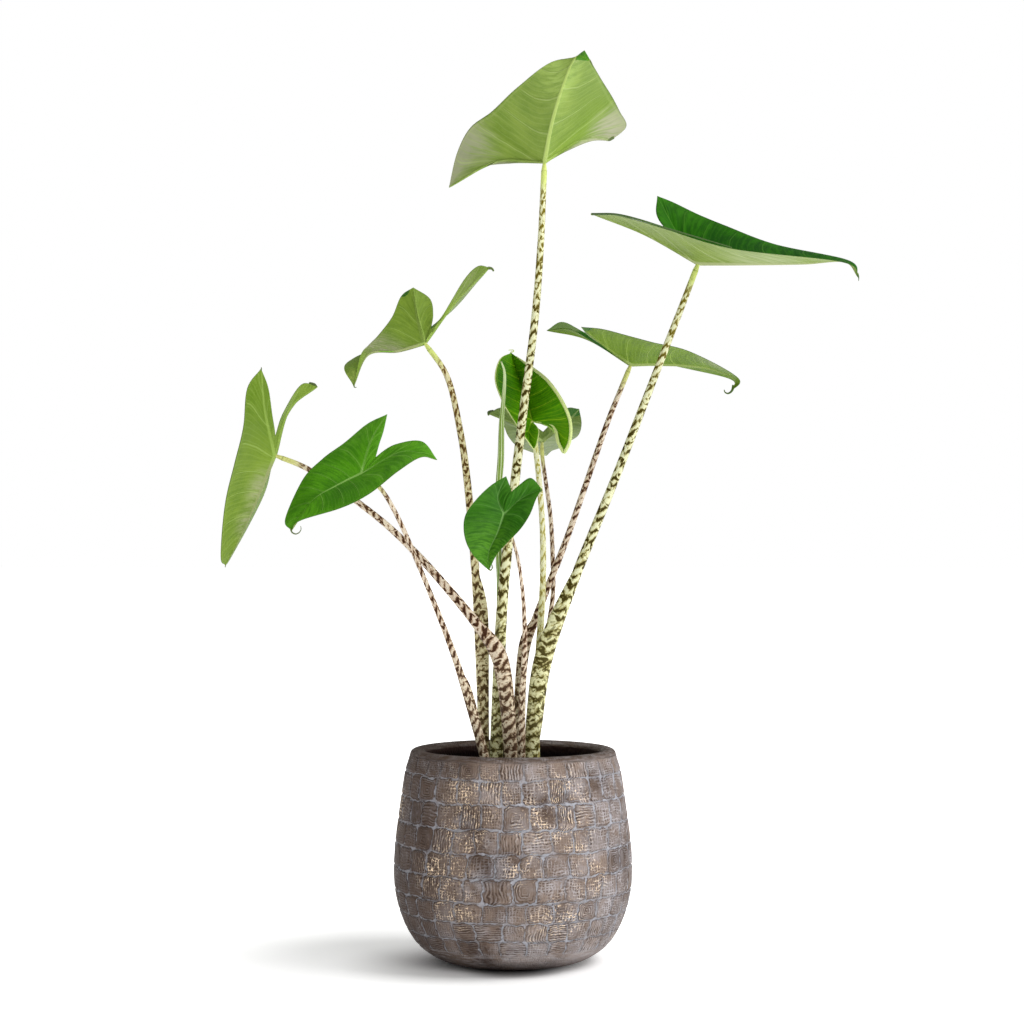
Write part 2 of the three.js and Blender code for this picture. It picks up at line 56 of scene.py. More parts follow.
MM = 0.001  # metres in a millimetre
WAVES = 6  # sine waves that a wandering field is the sum of
WELD_STEPS = 100.0  # steps of a millimetre to which points are rounded before they are joined
LINE_STEPS = 1200  # steps in which a line's length is measured
FOOT_DEPTH = 30.0  # length of a stalk's foot in the soil
NECK = 8.0  # length of a stalk's end that belongs to the blade
NECK_TIP_SHARE = 0.6  # radius at the neck's end, as a share of the stalk's last
NUDGE = 0.002  # share of a line over which its direction is taken
BLADE_ARCH = 0.035  # rise of a strip of the blade, as a share of its width
AHEAD = 0.08  # u over which a strip's direction is taken
LEAN_BACK = 0.26  # how far a lateral vein first falls back, in u
LEAN_AHEAD = 0.16  # how far it then leans forward
HEM = (0.965, 0.984, 1.0)  # the last places across a strip, from the rib to the margin
PILLOW_WIDTH = 25.0  # width of a strip from which pillows and waves have their full height
RIB_RISE = 2.0  # a rib's rise at the stalk, for a stalk of 3 mm radius there
RIB_SPREAD = (0.5, 1.6)  # its reach at the tips, and what it gains towards the stalk
RIB_FADE = 0.8  # power by which it falls towards the tips
EDGE_THINNING = 0.22  # share of the thickness that each face loses at the margin
SOFT_EDGE = 0.5  # softness from which the grain breaks up a patch


def paint(red: int, green: int, blue: int) -> Colour:
    """A screen colour, 0 to 255 a channel, as the linear colour that a shader takes.

    Args:
        red: Red channel.
        green: Green channel.
        blue: Blue channel.

    Returns:
        Linear red, green, blue and alpha.
    """
    shares = np.array([red, green, blue]) / 255.0
    linear = np.where(shares <= 0.04045, shares / 12.92, ((shares + 0.055) / 1.055) ** 2.4)
    return (*(float(c) for c in linear), 1.0)


def unit(vectors: Array) -> Array:
    """The vectors at length one; one of no length stays as it is."""
    return vectors / np.maximum(np.linalg.norm(vectors, axis=-1, keepdims=True), 1e-9)


def ease(low: float, high: float, value: Array) -> Array:
    """A smooth step: 0 below low, 1 above high, and 3t^2 - 2t^3 between them."""
    t = np.clip((value - low) / (high - low), 0.0, 1.0)
    return t * t * (3.0 - 2.0 * t)


def wander(a: Array, b: Array, seed: int) -> Array:
    """A soft irregular field over two coordinates: the sum of sine waves of drawn pitch and phase.

    Args:
        a: First coordinate, in units of about one wave.
        b: Second coordinate, in the same units.
        seed: Seed of the draw.

    Returns:
        Values from about -1 to 1.
    """
    draw = np.random.default_rng(seed)
    total = np.zeros(np.broadcast(a, b).shape)
    for _ in range(WAVES):
        pitch_a, pitch_b = draw.uniform(-6.0, 6.0, 2)
        total += np.sin(pitch_a * a + pitch_b * b + draw.uniform(0.0, 2.0 * np.pi))
    return total / (0.5 * WAVES)


def curve_at(points: list[Point] | Array, shares: Array, centripetal: bool = False) -> Array:
    """Places on a smooth curve through control points.

    Each span is a cubic in t whose slopes at both ends come from the neighbouring points.
    The neighbours beyond both ends are mirrored. Spans take equal parts of the share, and centripetal
    slopes weigh each span by the square root of its length.

    Args:
        points: Control points.
        shares: Places from 0, the first point, to 1, the last, in an array of any shape.
        centripetal: Whether the slopes are weighed by the spans' lengths.

    Returns:
        One point for each share.
    """
    p = np.asarray(points, float)
    p = np.vstack([2.0 * p[0] - p[1], p, 2.0 * p[-1] - p[-2]])
    place = np.clip(shares, 0.0, 1.0) * (len(p) - 3)
    span = np.minimum(place.astype(int), len(p) - 4)
    t = (place - span)[..., None]
    p0, p1, p2, p3 = (p[span + k] for k in range(4))
    if centripetal:
        steps = (p1 - p0, p2 - p1, p3 - p2)
        d0, d1, d2 = (np.sqrt(np.linalg.norm(step, axis=-1, keepdims=True)) for step in steps)
        leave = ((p1 - p0) / d0 - (p2 - p0) / (d0 + d1) + (p2 - p1) / d1) * d1
        arrive = ((p2 - p1) / d1 - (p3 - p1) / (d1 + d2) + (p3 - p2) / d2) * d1
    else:
        leave, arrive = (p2 - p0) / 2.0, (p3 - p1) / 2.0
    blend = 2.0 * t**3 - 3.0 * t**2
    return (blend + 1.0) * p1 - blend * p2 + (t**3 - 2.0 * t**2 + t) * leave + (t**3 - t**2) * arrive


def joined(*values: object) -> Array:
    """Arrays or numbers side by side, such as the three places or four map values of a grid's points."""
    return np.stack(np.broadcast_arrays(*values), -1)


def mean_normals(points: Array, faces: Array) -> Array:
    """The normals at the points: the sum of the triangles' own, weighed by their area, at length one.

    Args:
        points: The points, three numbers each.
        faces: The triangles, three vertex indices each.

    Returns:
        A normal for each point.
    """
    corners = points[faces]
    square = np.cross(corners[:, 1] - corners[:, 0], corners[:, 2] - corners[:, 0])
    normal = np.zeros_like(points)
    np.add.at(normal, faces.ravel(), np.repeat(square, 3, 0))
    return unit(normal)


def free_edges(faces: Array) -> Array:
    """The edges that belong to one triangle alone.

    Args:
        faces: The triangles, three vertex indices each.

    Returns:
        Two vertex indices for each edge, in its triangle's order.
    """
    edges = np.concatenate([faces[:, [0, 1]], faces[:, [1, 2]], faces[:, [2, 0]]])
    _, which, times = np.unique(np.sort(edges, 1), axis=0, return_inverse=True, return_counts=True)
    return edges[times[which.reshape(-1)] == 1]


@dataclass
class Patchwork:
    """Sheets of points that together make one mesh.

    A sheet is a grid of points with four map values at each: the first two go to the UV map "plan" and
    the last two to the UV map "size". Points of different sheets that fall together become one vertex.
    """

    points: list[Array] = field(default_factory=list)
    maps: list[Array] = field(default_factory=list)
    corners: list[Array] = field(default_factory=list)
    finishes: list[Array] = field(default_factory=list)

    def add(self, points: Array, maps: Array, corners: Array, finish: int = 0) -> None:
        """Adds triangles over a flat list of points.

        Args:
            points: Points, one row each.
            maps: Four map values for each point.
            corners: Three indices into these points for each triangle.
            finish: Index of the material.
        """
        base = sum(len(p) for p in self.points)
        self.points.append(points)
        self.maps.append(maps)
        self.corners.append(corners + base)
        self.finishes.append(np.full(len(corners), finish))

    def add_grid(self, grid: Array, maps: Array, finish: int = 0, flip: bool = False) -> None:
        """Adds a grid of points as two triangles a cell.

        Args:
            grid: Points in rows and columns.
            maps: Four map values for each point, in the same rows and columns.
            finish: Index of the material.
            flip: Whether the faces point the other way.
        """
        rows, columns = grid.shape[:2]
        index = np.arange(rows * columns).reshape(rows, columns)
        a, b, c, d = index[:-1, :-1], index[1:, :-1], index[1:, 1:], index[:-1, 1:]
        corners = np.stack([a, b, c, a, c, d], -1).reshape(-1, 3)
        if flip:
            corners = corners[:, ::-1]
        self.add(grid.reshape(-1, 3), maps.reshape(-1, 4), corners, finish)

    def welded(self) -> tuple[Array, Array, Array, Array]:
        """Joins the sheets: points within a hundredth of a millimetre are one vertex.

        Returns:
            Vertices; three vertex indices for each triangle; four map values for each triangle's corner;
            and the material index of each triangle. Triangles that have shrunk to a line are left out.
        """
        points, maps = np.concatenate(self.points), np.concatenate(self.maps)
        corners, finishes = np.concatenate(self.corners), np.concatenate(self.finishes)
        steps = np.round(points * WELD_STEPS).astype(np.int64)
        _, first, vertex = np.unique(steps, axis=0, return_index=True, return_inverse=True)
        faces = vertex.reshape(-1)[corners]
        full = (faces != np.roll(faces, 1, axis=1)).all(axis=1)
        return points[first], faces[full], maps[corners[full]], finishes[full]

    def build(self, name: str, materials: list[bpy.types.Material]) -> bpy.types.Object:
        """Makes the welded mesh an object.

        Args:
            name: Name of the piece.
            materials: Its materials, in the order of their indices.

        Returns:
            The object, in the scene and at the origin.
        """
        vertices, faces, maps, finishes = self.welded()
        mesh = bpy.data.meshes.new(name)
        mesh.vertices.add(len(vertices))
        mesh.vertices.foreach_set("co", (vertices * MM).astype(np.float32).ravel())
        mesh.loops.add(faces.size)
        mesh.loops.foreach_set("vertex_index", faces.astype(np.int32).ravel())
        mesh.polygons.add(len(faces))
        mesh.polygons.foreach_set("loop_start", np.arange(0, faces.size, 3, dtype=np.int32))
        mesh.update(calc_edges=True)
        mesh.polygons.foreach_set("material_index", finishes.astype(np.int32))
        mesh.polygons.foreach_set("use_smooth", np.ones(len(faces), bool))
        for layer, first in (("plan", 0), ("size", 2)):
            values = maps[..., first:first + 2].astype(np.float32).ravel()
            mesh.uv_layers.new(name=layer).data.foreach_set("uv", values)
        mesh.update()
        for material in materials:
            mesh.materials.append(material)
        piece = bpy.data.objects.new(name, mesh)
        bpy.context.scene.collection.objects.link(piece)
        return piece


def dress(piece: bpy.types.Object, slot: str, *nodes: str) -> bpy.types.Object:
    """Puts a piece on the object's one body and hides the part's nodes that it replaces.

    Args:
        piece: The piece.
        slot: The record's material slot that its finish belongs to; not used.
        *nodes: The part's nodes that it replaces, if any.

    Returns:
        The same piece.
    """
    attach(piece, "root")
    if nodes:
        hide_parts(*nodes)
    log.info("%s: %d triangles", piece.name, len(piece.data.polygons))
    return piece


@dataclass(frozen=True)
class Wire:
    """A value that a node gives. Sums of it with wires or numbers make the nodes that work them out."""

    graph: "NodeGraph"
    socket: bpy.types.NodeSocket

    def __add__(self, other: object) -> "Wire":
        """This plus the other."""
        return self.graph.maths("ADD", self, other)

    def __radd__(self, other: float) -> "Wire":
        """A number plus this."""
        return self.graph.maths("ADD", other, self)

    def __sub__(self, other: object) -> "Wire":
        """This less the other."""
        return self.graph.maths("SUBTRACT", self, other)

    def __rsub__(self, other: float) -> "Wire":
        """A number less this."""
        return self.graph.maths("SUBTRACT", other, self)

    def __mul__(self, other: object) -> "Wire":
        """This times the other."""
        return self.graph.maths("MULTIPLY", self, other)

    def __truediv__(self, other: object) -> "Wire":
        """This divided by the other."""
        return self.graph.maths("DIVIDE", self, other)

    def __abs__(self) -> "Wire":
        """This without its sign."""
        return self.graph.maths("ABSOLUTE", self)


class NodeGraph:
    """The nodes of one material, made and joined by short calls."""

    def __init__(self, name: str) -> None:
        """Starts an empty node material.

        Args:
            name: The material's name.
        """
        self.material = bpy.data.materials.new(name)
        self.material.use_nodes = True
        self.tree = self.material.node_tree
        self.tree.nodes.clear()

    def node(self, kind: str, inputs: dict, output: int | str = 0, **settings: object) -> Wire:
        """Makes a node.

        Args:
            kind: Its type.
            inputs: Numbers, colours or wires for its inputs, by input name or number.
            output: The output that is wanted, by name or number.
            **settings: Its own settings.

        Returns:
            That output.
        """
        made = self.tree.nodes.new(kind)
        for key, value in settings.items():
            setattr(made, key, value)
        for key, value in inputs.items():
            if isinstance(value, Wire):
                self.tree.links.new(value.socket, made.inputs[key])
            else:
                made.inputs[key].default_value = value
        return Wire(self, made.outputs[output])

    def maths(self, operation: str, *values: object, clamp: bool = False) -> Wire:
        """The result of one sum on one to three numbers or wires."""
        return self.node("ShaderNodeMath", dict(enumerate(values)), operation=operation, use_clamp=clamp)

    def most(self, first: object, second: object) -> Wire:
        """The larger of two numbers or wires."""
        return self.maths("MAXIMUM", first, second)

    def off_middle(self, value: Wire) -> Wire:
        """How far a value from 0 to 1 is from its middle: 0 there, and 1 at both ends."""
        return abs(self.maths("MULTIPLY_ADD", value, 2.0, -1.0))

    def place(self) -> Wire:
        """The place in the object's own space, in metres."""
        return self.node("ShaderNodeTexCoord", {}, "Object")

    def parts(self, vector: Wire) -> tuple[Wire, ...]:
        """The three parts of a vector."""
        first = self.node("ShaderNodeSeparateXYZ", {0: vector})
        return tuple(Wire(self, part) for part in first.socket.node.outputs)

    def map(self, layer: str) -> tuple[Wire, ...]:
        """The two values of one of the piece's own UV maps."""
        return self.parts(self.node("ShaderNodeUVMap", {}, uv_map=layer))[:2]

    def vector(self, x: object, y: object, z: object) -> Wire:
        """Three numbers or wires as one vector."""
        return self.node("ShaderNodeCombineXYZ", {0: x, 1: y, 2: z})

    def stretched(self, vector: Wire, scale: Point) -> Wire:
        """A vector with each of its parts multiplied."""
        return self.node("ShaderNodeVectorMath", {0: vector, 1: scale}, operation="MULTIPLY")

    def gap(self, place: Wire, point: Point) -> Wire:
        """The distance between a place and a point."""
        return self.node("ShaderNodeVectorMath", {0: place, 1: point}, "Value", operation="DISTANCE")

    def noise(self, vector: Wire, scale: float, detail: float = 3.0, roughness: float = 0.55,
              warp: float = 0.0) -> Wire:
        """Cloudy noise from 0 to 1 at a place."""
        inputs = {"Vector": vector, "Scale": scale, "Detail": detail, "Roughness": roughness}
        return self.node("ShaderNodeTexNoise", {**inputs, "Distortion": warp}, "Fac")

    def cracks(self, vector: Wire, scale: float) -> Wire:
        """The distance to the nearest edge of a net of irregular cells."""
        inputs = {"Vector": vector, "Scale": scale}
        return self.node("ShaderNodeTexVoronoi", inputs, "Distance", feature="DISTANCE_TO_EDGE")

    def step(self, value: Wire, low: float, high: float) -> Wire:
        """A smooth step of a value from low to high; it falls where high is below low."""
        inputs = {0: value, 1: low, 2: high, 3: 0.0, 4: 1.0}
        return self.node("ShaderNodeMapRange", inputs, interpolation_type="SMOOTHSTEP")

    def spread(self, value: Wire, low: float, high: float) -> Wire:
        """A value from 0 to 1 spread evenly over low to high."""
        return self.node("ShaderNodeMapRange", {0: value, 1: 0.0, 2: 1.0, 3: low, 4: high})

    def mixed(self, share: object, first: object, second: object) -> Wire:
        """A colour between two, at this share of the second."""
        return self.node("ShaderNodeMix", {0: share, 6: first, 7: second}, 2, data_type="RGBA")

    def bumped(self, height: Wire, strength: float, depth: float) -> Wire:
        """The normal of a surface raised by this height; depth is in metres."""
        return self.node("ShaderNodeBump", {"Height": height, "Strength": strength, "Distance": depth})

    def finished(self, **inputs: object) -> bpy.types.Material:
        """Ends the graph in one surface shader.

        Args:
            **inputs: The shader's inputs by name, with _ for a space.

        Returns:
            The material.
        """
        shader = self.node("ShaderNodeBsdfPrincipled", {key.replace("_", " "): inputs[key] for key in inputs})
        end = self.tree.nodes.new("ShaderNodeOutputMaterial")
        self.tree.links.new(shader.socket, end.inputs[0])
        return self.material


class Tiles:
    """The nodes that lay out the stoneware's tiles: masks and heights that its colours are built on."""

    def __init__(self, g: NodeGraph, rows: int) -> None:
        """Makes the nodes.

        "plan" holds the tile's column and row numbers, and each whole number is the middle of a groove.
        Both are shifted by noise so that the grooves wander. Within a tile the distance from its middle
        is (|x|^9 + |y|^9)^(1/9), which is 1 on its edge.

        Args:
            g: The graph that they belong to.
            rows: Number of rows of tiles.
        """
        self.place = g.place()
        column, self.row = g.map("plan")
        _, self.depth = g.map("size")
        fine = (g.noise(self.place, 150.0, 2.0) - 0.5) * 0.14
        across = column + ((g.noise(self.place, 62.0, 2.0) - 0.5) * 0.32 + fine)
        up = self.row + ((g.noise(self.place, 48.0, 2.0) - 0.5) * 0.36 + fine)
        self.x, self.y = g.maths("FRACT", across), g.maths("FRACT", up)
        cell = g.vector(g.maths("FLOOR", across), g.maths("FLOOR", up), 0.0)
        self.chance = g.node("ShaderNodeTexWhiteNoise", {"Vector": cell}, noise_dimensions="2D")
        off_x, off_y = (g.maths("POWER", g.off_middle(part), 9.0) for part in (self.x, self.y))
        self.edge = g.maths("POWER", off_x + off_y, 1.0 / 9.0)
        self.tiled = g.step(self.row, 0.02, 0.2) * g.step(self.row, rows, rows - 0.25)
        self.rim = g.step(self.row, rows - 0.15, rows + 0.1)
        ragged = self.edge + (g.noise(self.place, 190.0, 3.0, 0.65) - 0.5) * 0.3
        second = g.step(abs(ragged - 0.8), 0.045, 0.015)
        doubled = second * g.step(g.noise(self.place, 55.0, 2.0), 0.5, 0.62)
        self.groove = g.most(g.step(ragged, 0.9, 0.97), doubled * 0.6) * self.tiled
        self.shadow = g.step(ragged, 0.78, 0.9) * self.tiled
        self.ridges = self.hatching(g)

    def strokes(self, g: NodeGraph, across: Wire, along: Wire, count: float) -> Wire:
        """Fine uneven strokes: sine lines across a tile, and noise that is long in the strokes' direction.

        Args:
            g: The graph.
            across: Place across the strokes, from 0 to 1 over the tile.
            along: Place along them, the same way.
            count: Number of strokes on a tile.

        Returns:
            Heights from about -1 to 1.
        """
        sway = (g.noise(self.place, 130.0, 2.0) - 0.5) * 0.06
        lines = g.maths("SINE", (across + sway) * (2.0 * math.pi * count))
        spot = g.vector(across * count, along * 3.6, self.chance * 60.0)
        grain = (g.noise(spot, 1.0, 3.0, 0.7) - 0.5) * 3.0
        return lines * 0.75 + grain

    def hatching(self, g: NodeGraph) -> Wire:
        """The fine ridges on the faces: upright or level strokes, or both woven, or nested rounded squares.

        Each tile draws its kind.

        Args:
            g: The graph.

        Returns:
            Heights from about -1 to 1.
        """
        upright = self.strokes(g, self.x, self.y, 8.0)
        level = self.strokes(g, self.y, self.x, 8.0)
        nested = self.strokes(g, self.edge, self.x, 5.0) * 0.8
        woven = g.most(upright, level * 0.9)
        ridges = upright
        for start, kind in ((0.26, level), (0.36, woven), (0.95, nested)):
            share = g.step(self.chance, start - 0.01, start + 0.01)
            ridges = ridges * (1.0 - share) + kind * share
        patchy = g.spread(g.step(g.noise(self.place, 75.0, 3.0, 0.6), 0.36, 0.62), 0.5, 1.2)
        return ridges * patchy


@dataclass(frozen=True)
class StonewareFinish:
    """Brown stoneware: raised tiles with fine ridges and a worn bronze glaze, and pale lilac grooves.

    The glaze is metallic. Near the spots listed below, given as x, y, z and reach in metres, and in
    scattered patches elsewhere, a bright colour on its crests is a painted highlight: glints of the lamps.
    """

    face: Colour = paint(138, 120, 108)
    dark: Colour = paint(55, 35, 23)
    dry: Colour = paint(180, 175, 178)
    groove: Colour = paint(170, 171, 180)
    bronze: Colour = paint(252, 224, 190)
    rim: Colour = paint(76, 60, 50)
    inside: Colour = paint(14, 3, 2)
    clay: Colour = paint(50, 28, 22)
    tile_rows: int = 9
    glint_spots: tuple[tuple[float, float, float, float], ...] = (
        (-0.035, -0.112, 0.182, 0.040), (0.052, -0.104, 0.190, 0.036), (0.020, -0.118, 0.160, 0.026),
        (-0.072, -0.098, 0.108, 0.036), (-0.058, -0.104, 0.072, 0.028), (0.078, -0.094, 0.104, 0.026),
        (0.010, -0.124, 0.112, 0.022), (0.070, 0.095, 0.150, 0.040), (-0.080, 0.088, 0.110, 0.036),
        (0.118, 0.020, 0.170, 0.036), (-0.118, -0.010, 0.160, 0.030), (0.050, -0.110, 0.060, 0.030),
        (-0.050, -0.108, 0.150, 0.030), (0.060, -0.105, 0.150, 0.030),
    )

    def glaze(self, g: NodeGraph, tiles: Tiles) -> Wire:
        """How much bronze glaze and painted glint show: ridge crests near the spots, broken up by fine noise.

        Args:
            g: The graph.
            tiles: The layout of the tiles.

        Returns:
            The share of glaze and painted glint, from 0 to 1.
        """
        near = 0.0
        for x, y, z, reach in self.glint_spots:
            near = g.most(near, g.step(g.gap(tiles.place, (x, y, z)), reach * 1.25, reach * 0.35))
        scattered = g.step(g.noise(g.stretched(tiles.place, (1.0, 1.0, 0.6)), 24.0, 2.0), 0.6, 0.74)
        near = g.most(near, scattered * 0.7)
        speck = g.step(g.noise(tiles.place, 480.0, 2.0, 0.6), 0.46, 0.56)
        crest = g.step(tiles.ridges, 0.35, 0.9) * speck
        fleck = g.step(g.noise(tiles.place, 380.0, 2.0, 0.6), 0.62, 0.68)
        # The bright colour that this share lays on is a painted highlight: the lamps' glints on the bronze.
        shine = near * g.most(crest, fleck * 0.4) * tiles.tiled
        return shine * (1.0 - tiles.groove * 0.85)

    def body(self, g: NodeGraph, tiles: Tiles, x: Wire, z: Wire) -> Wire:
        """The clay's colour: brown under a dry haze and paler on the strokes' crests, with painted shade on
        the left side, at the right edge and at the foot, and painted light from the right in the haze and
        crests.

        Args:
            g: The graph.
            tiles: The layout of the tiles.
            x: Place to the right, in metres.
            z: Height, in metres.

        Returns:
            The colour, without grooves and glaze.
        """
        # The haze grows towards the bottom, and towards the right as painted light from the lamps.
        side = g.maths("MULTIPLY_ADD", g.step(x, -0.08, 0.07), 0.1, -0.07)
        low = g.step(z, 0.08, 0.01) * 0.1
        haze = g.step(g.noise(tiles.place, 34.0, 4.0, 0.65) + (side + low), 0.42, 0.66)
        cloud = g.noise(tiles.place, 20.0, 4.0, 0.6)
        colour = g.mixed(g.step(cloud, 0.25, 0.6), self.dark, self.face)
        grain = g.noise(tiles.place, 800.0, 2.0)
        colour = g.mixed(haze * g.spread(grain, 0.1, 0.75), colour, self.dry)
        # Painted shade: the left side, turned from the lamps, is darkened.
        left_side_shade = g.step(x, -0.02, -0.1) * 0.82
        drawn = tiles.chance * tiles.tiled * 0.3
        colour = g.mixed(g.most(left_side_shade, drawn), colour, self.dark)
        # Painted shade at the right edge.
        colour = g.mixed(g.step(x, 0.07, 0.11) * 0.22, colour, self.dark)
        shade = g.maths("MULTIPLY", tiles.shadow - tiles.groove, 0.3, clamp=True)
        colour = g.mixed(shade, colour, self.dark)
        hollow = g.step(tiles.ridges, -0.1, -0.8) * tiles.tiled
        colour = g.mixed(hollow * 0.8, colour, self.dark)
        # The crests pale more towards the right: painted light.
        crest = g.step(tiles.ridges, 0.2, 0.9) * tiles.tiled * g.spread(g.step(x, -0.06, 0.05), 0.35, 1.0)
        colour = g.mixed(crest * g.spread(haze, 0.4, 0.85), colour, self.dry)
        wiped = g.step(g.noise(g.stretched(tiles.place, (1.0, 1.0, 7.0)), 60.0, 3.0, 0.6), 0.46, 0.64)
        colour = g.mixed(wiped * g.step(tiles.row, 0.3, 0.0) * 0.45, colour, self.dry)
        # Painted shade: darker at the foot, under the belly.
        return g.mixed(g.step(z, 0.022, 0.002) * 0.7, colour, self.dark)

    def rimmed(self, g: NodeGraph, tiles: Tiles, x: Wire, colour: Wire) -> Wire:
        """The colour with the brushed lip over the tiles, painted darker to the left as shade, and the
        inside, painted darker with depth as shade.

        Args:
            g: The graph.
            tiles: The layout of the tiles.
            x: Place to the right, in metres.
            colour: The colour of the tiled skin.

        Returns:
            The colour of the whole pot.
        """
        brushed = g.noise(g.stretched(tiles.place, (1.0, 1.0, 4.0)), 90.0, 3.0, 0.6)
        lip = g.mixed(g.step(brushed, 0.35, 0.75) * 0.35, self.rim, self.dry)
        # Painted shade: the lip darkens towards the left.
        lip = g.mixed(g.step(x, 0.04, -0.08) * 0.5, lip, self.dark)
        # Painted shade: the inside wall darkens with depth below the lip.
        inside_shade = g.mixed(g.step(tiles.depth, 4.0, 16.0), self.clay, self.inside)
        return g.mixed(g.step(tiles.depth, 1.5, 5.0), g.mixed(tiles.rim, colour, lip), inside_shade)

    def material(self) -> bpy.types.Material:
        """The pot's skin: clay with pale grooves, worn glaze with painted glints, and the lip and the inside.

        "size" also holds the depth below the lip, in millimetres, on the inside.

        Returns:
            The material.
        """
        g = NodeGraph("stoneware")
        tiles = Tiles(g, self.tile_rows)
        x, _, z = g.parts(tiles.place)
        faint = g.spread(g.step(tiles.row, self.tile_rows - 0.3, self.tile_rows - 1.3), 0.4, 1.0)
        laid = g.spread(g.step(g.noise(tiles.place, 90.0, 3.0, 0.65), 0.36, 0.6), 0.3, 0.95)
        # Painted shade: the grooves dim towards the left side.
        laid = laid * g.spread(g.step(x, -0.11, 0.02), 0.6, 1.0) * faint
        colour = g.mixed(tiles.groove * laid, self.body(g, tiles, x, z), self.groove)
        glaze = self.glaze(g, tiles) * faint
        # Painted highlight: the bronze colour stands in for glints of the lamps on the metallic glaze.
        colour = self.rimmed(g, tiles, x, g.mixed(glaze, colour, self.bronze))
        relief = tiles.groove * -1.0 + tiles.ridges * 0.4 + g.noise(tiles.place, 420.0, 3.0, 0.7) * 0.35
        rough = g.spread(1.0 - glaze, 0.36, 0.66)
        return g.finished(Base_Color=colour, Metallic=glaze * 0.4, Roughness=rough,
                          Specular_IOR_Level=0.28, Normal=g.bumped(relief, 0.95, 0.0013))


@dataclass(frozen=True)
class SoilFinish:
    """Moist potting mix: dark brown with paler fibres and grit."""

    name: str = "potting_mix"
    dark: Colour = paint(28, 18, 12)
    pale: Colour = paint(72, 50, 34)
    grit: Colour = paint(150, 138, 120)

    def material(self) -> bpy.types.Material:
        """The potting mix: dark and paler grains with specks of grit, bumped by the grains.

        Returns:
            The material.
        """
        g = NodeGraph(self.name)
        place = g.place()
        grain = g.noise(place, 260.0, 5.0, 0.7)
        colour = g.mixed(g.step(grain, 0.4, 0.68), self.dark, self.pale)
        colour = g.mixed(g.step(g.noise(place, 420.0, 2.0), 0.7, 0.76) * 0.7, colour, self.grit)
        height = grain + g.noise(place, 90.0, 3.0) * 0.8
        return g.finished(Base_Color=colour, Roughness=g.spread(grain, 0.8, 1.0),
                          Normal=g.bumped(height, 1.0, 0.003))


@dataclass(frozen=True)
class CormFinish:
    """The corm's brown papery skin with rings of old leaf scars."""

    skin: Colour = paint(107, 74, 44)
    scar: Colour = paint(58, 38, 24)

    def material(self) -> bpy.types.Material:
        """The corm's skin: level rings that bend a little.

        Returns:
            The material.
        """
        g = NodeGraph("corm_skin")
        place = g.place()
        bend = g.noise(place, 30.0, 3.0) * 0.006
        rings = g.maths("SINE", (g.parts(place)[2] + bend) * 900.0)
        colour = g.mixed(g.step(rings, 0.2, 0.9), self.skin, self.scar)
        return g.finished(Base_Color=colour, Roughness=g.spread(g.noise(place, 80.0), 0.7, 0.95),
                          Normal=g.bumped(rings, 0.5, 0.001))


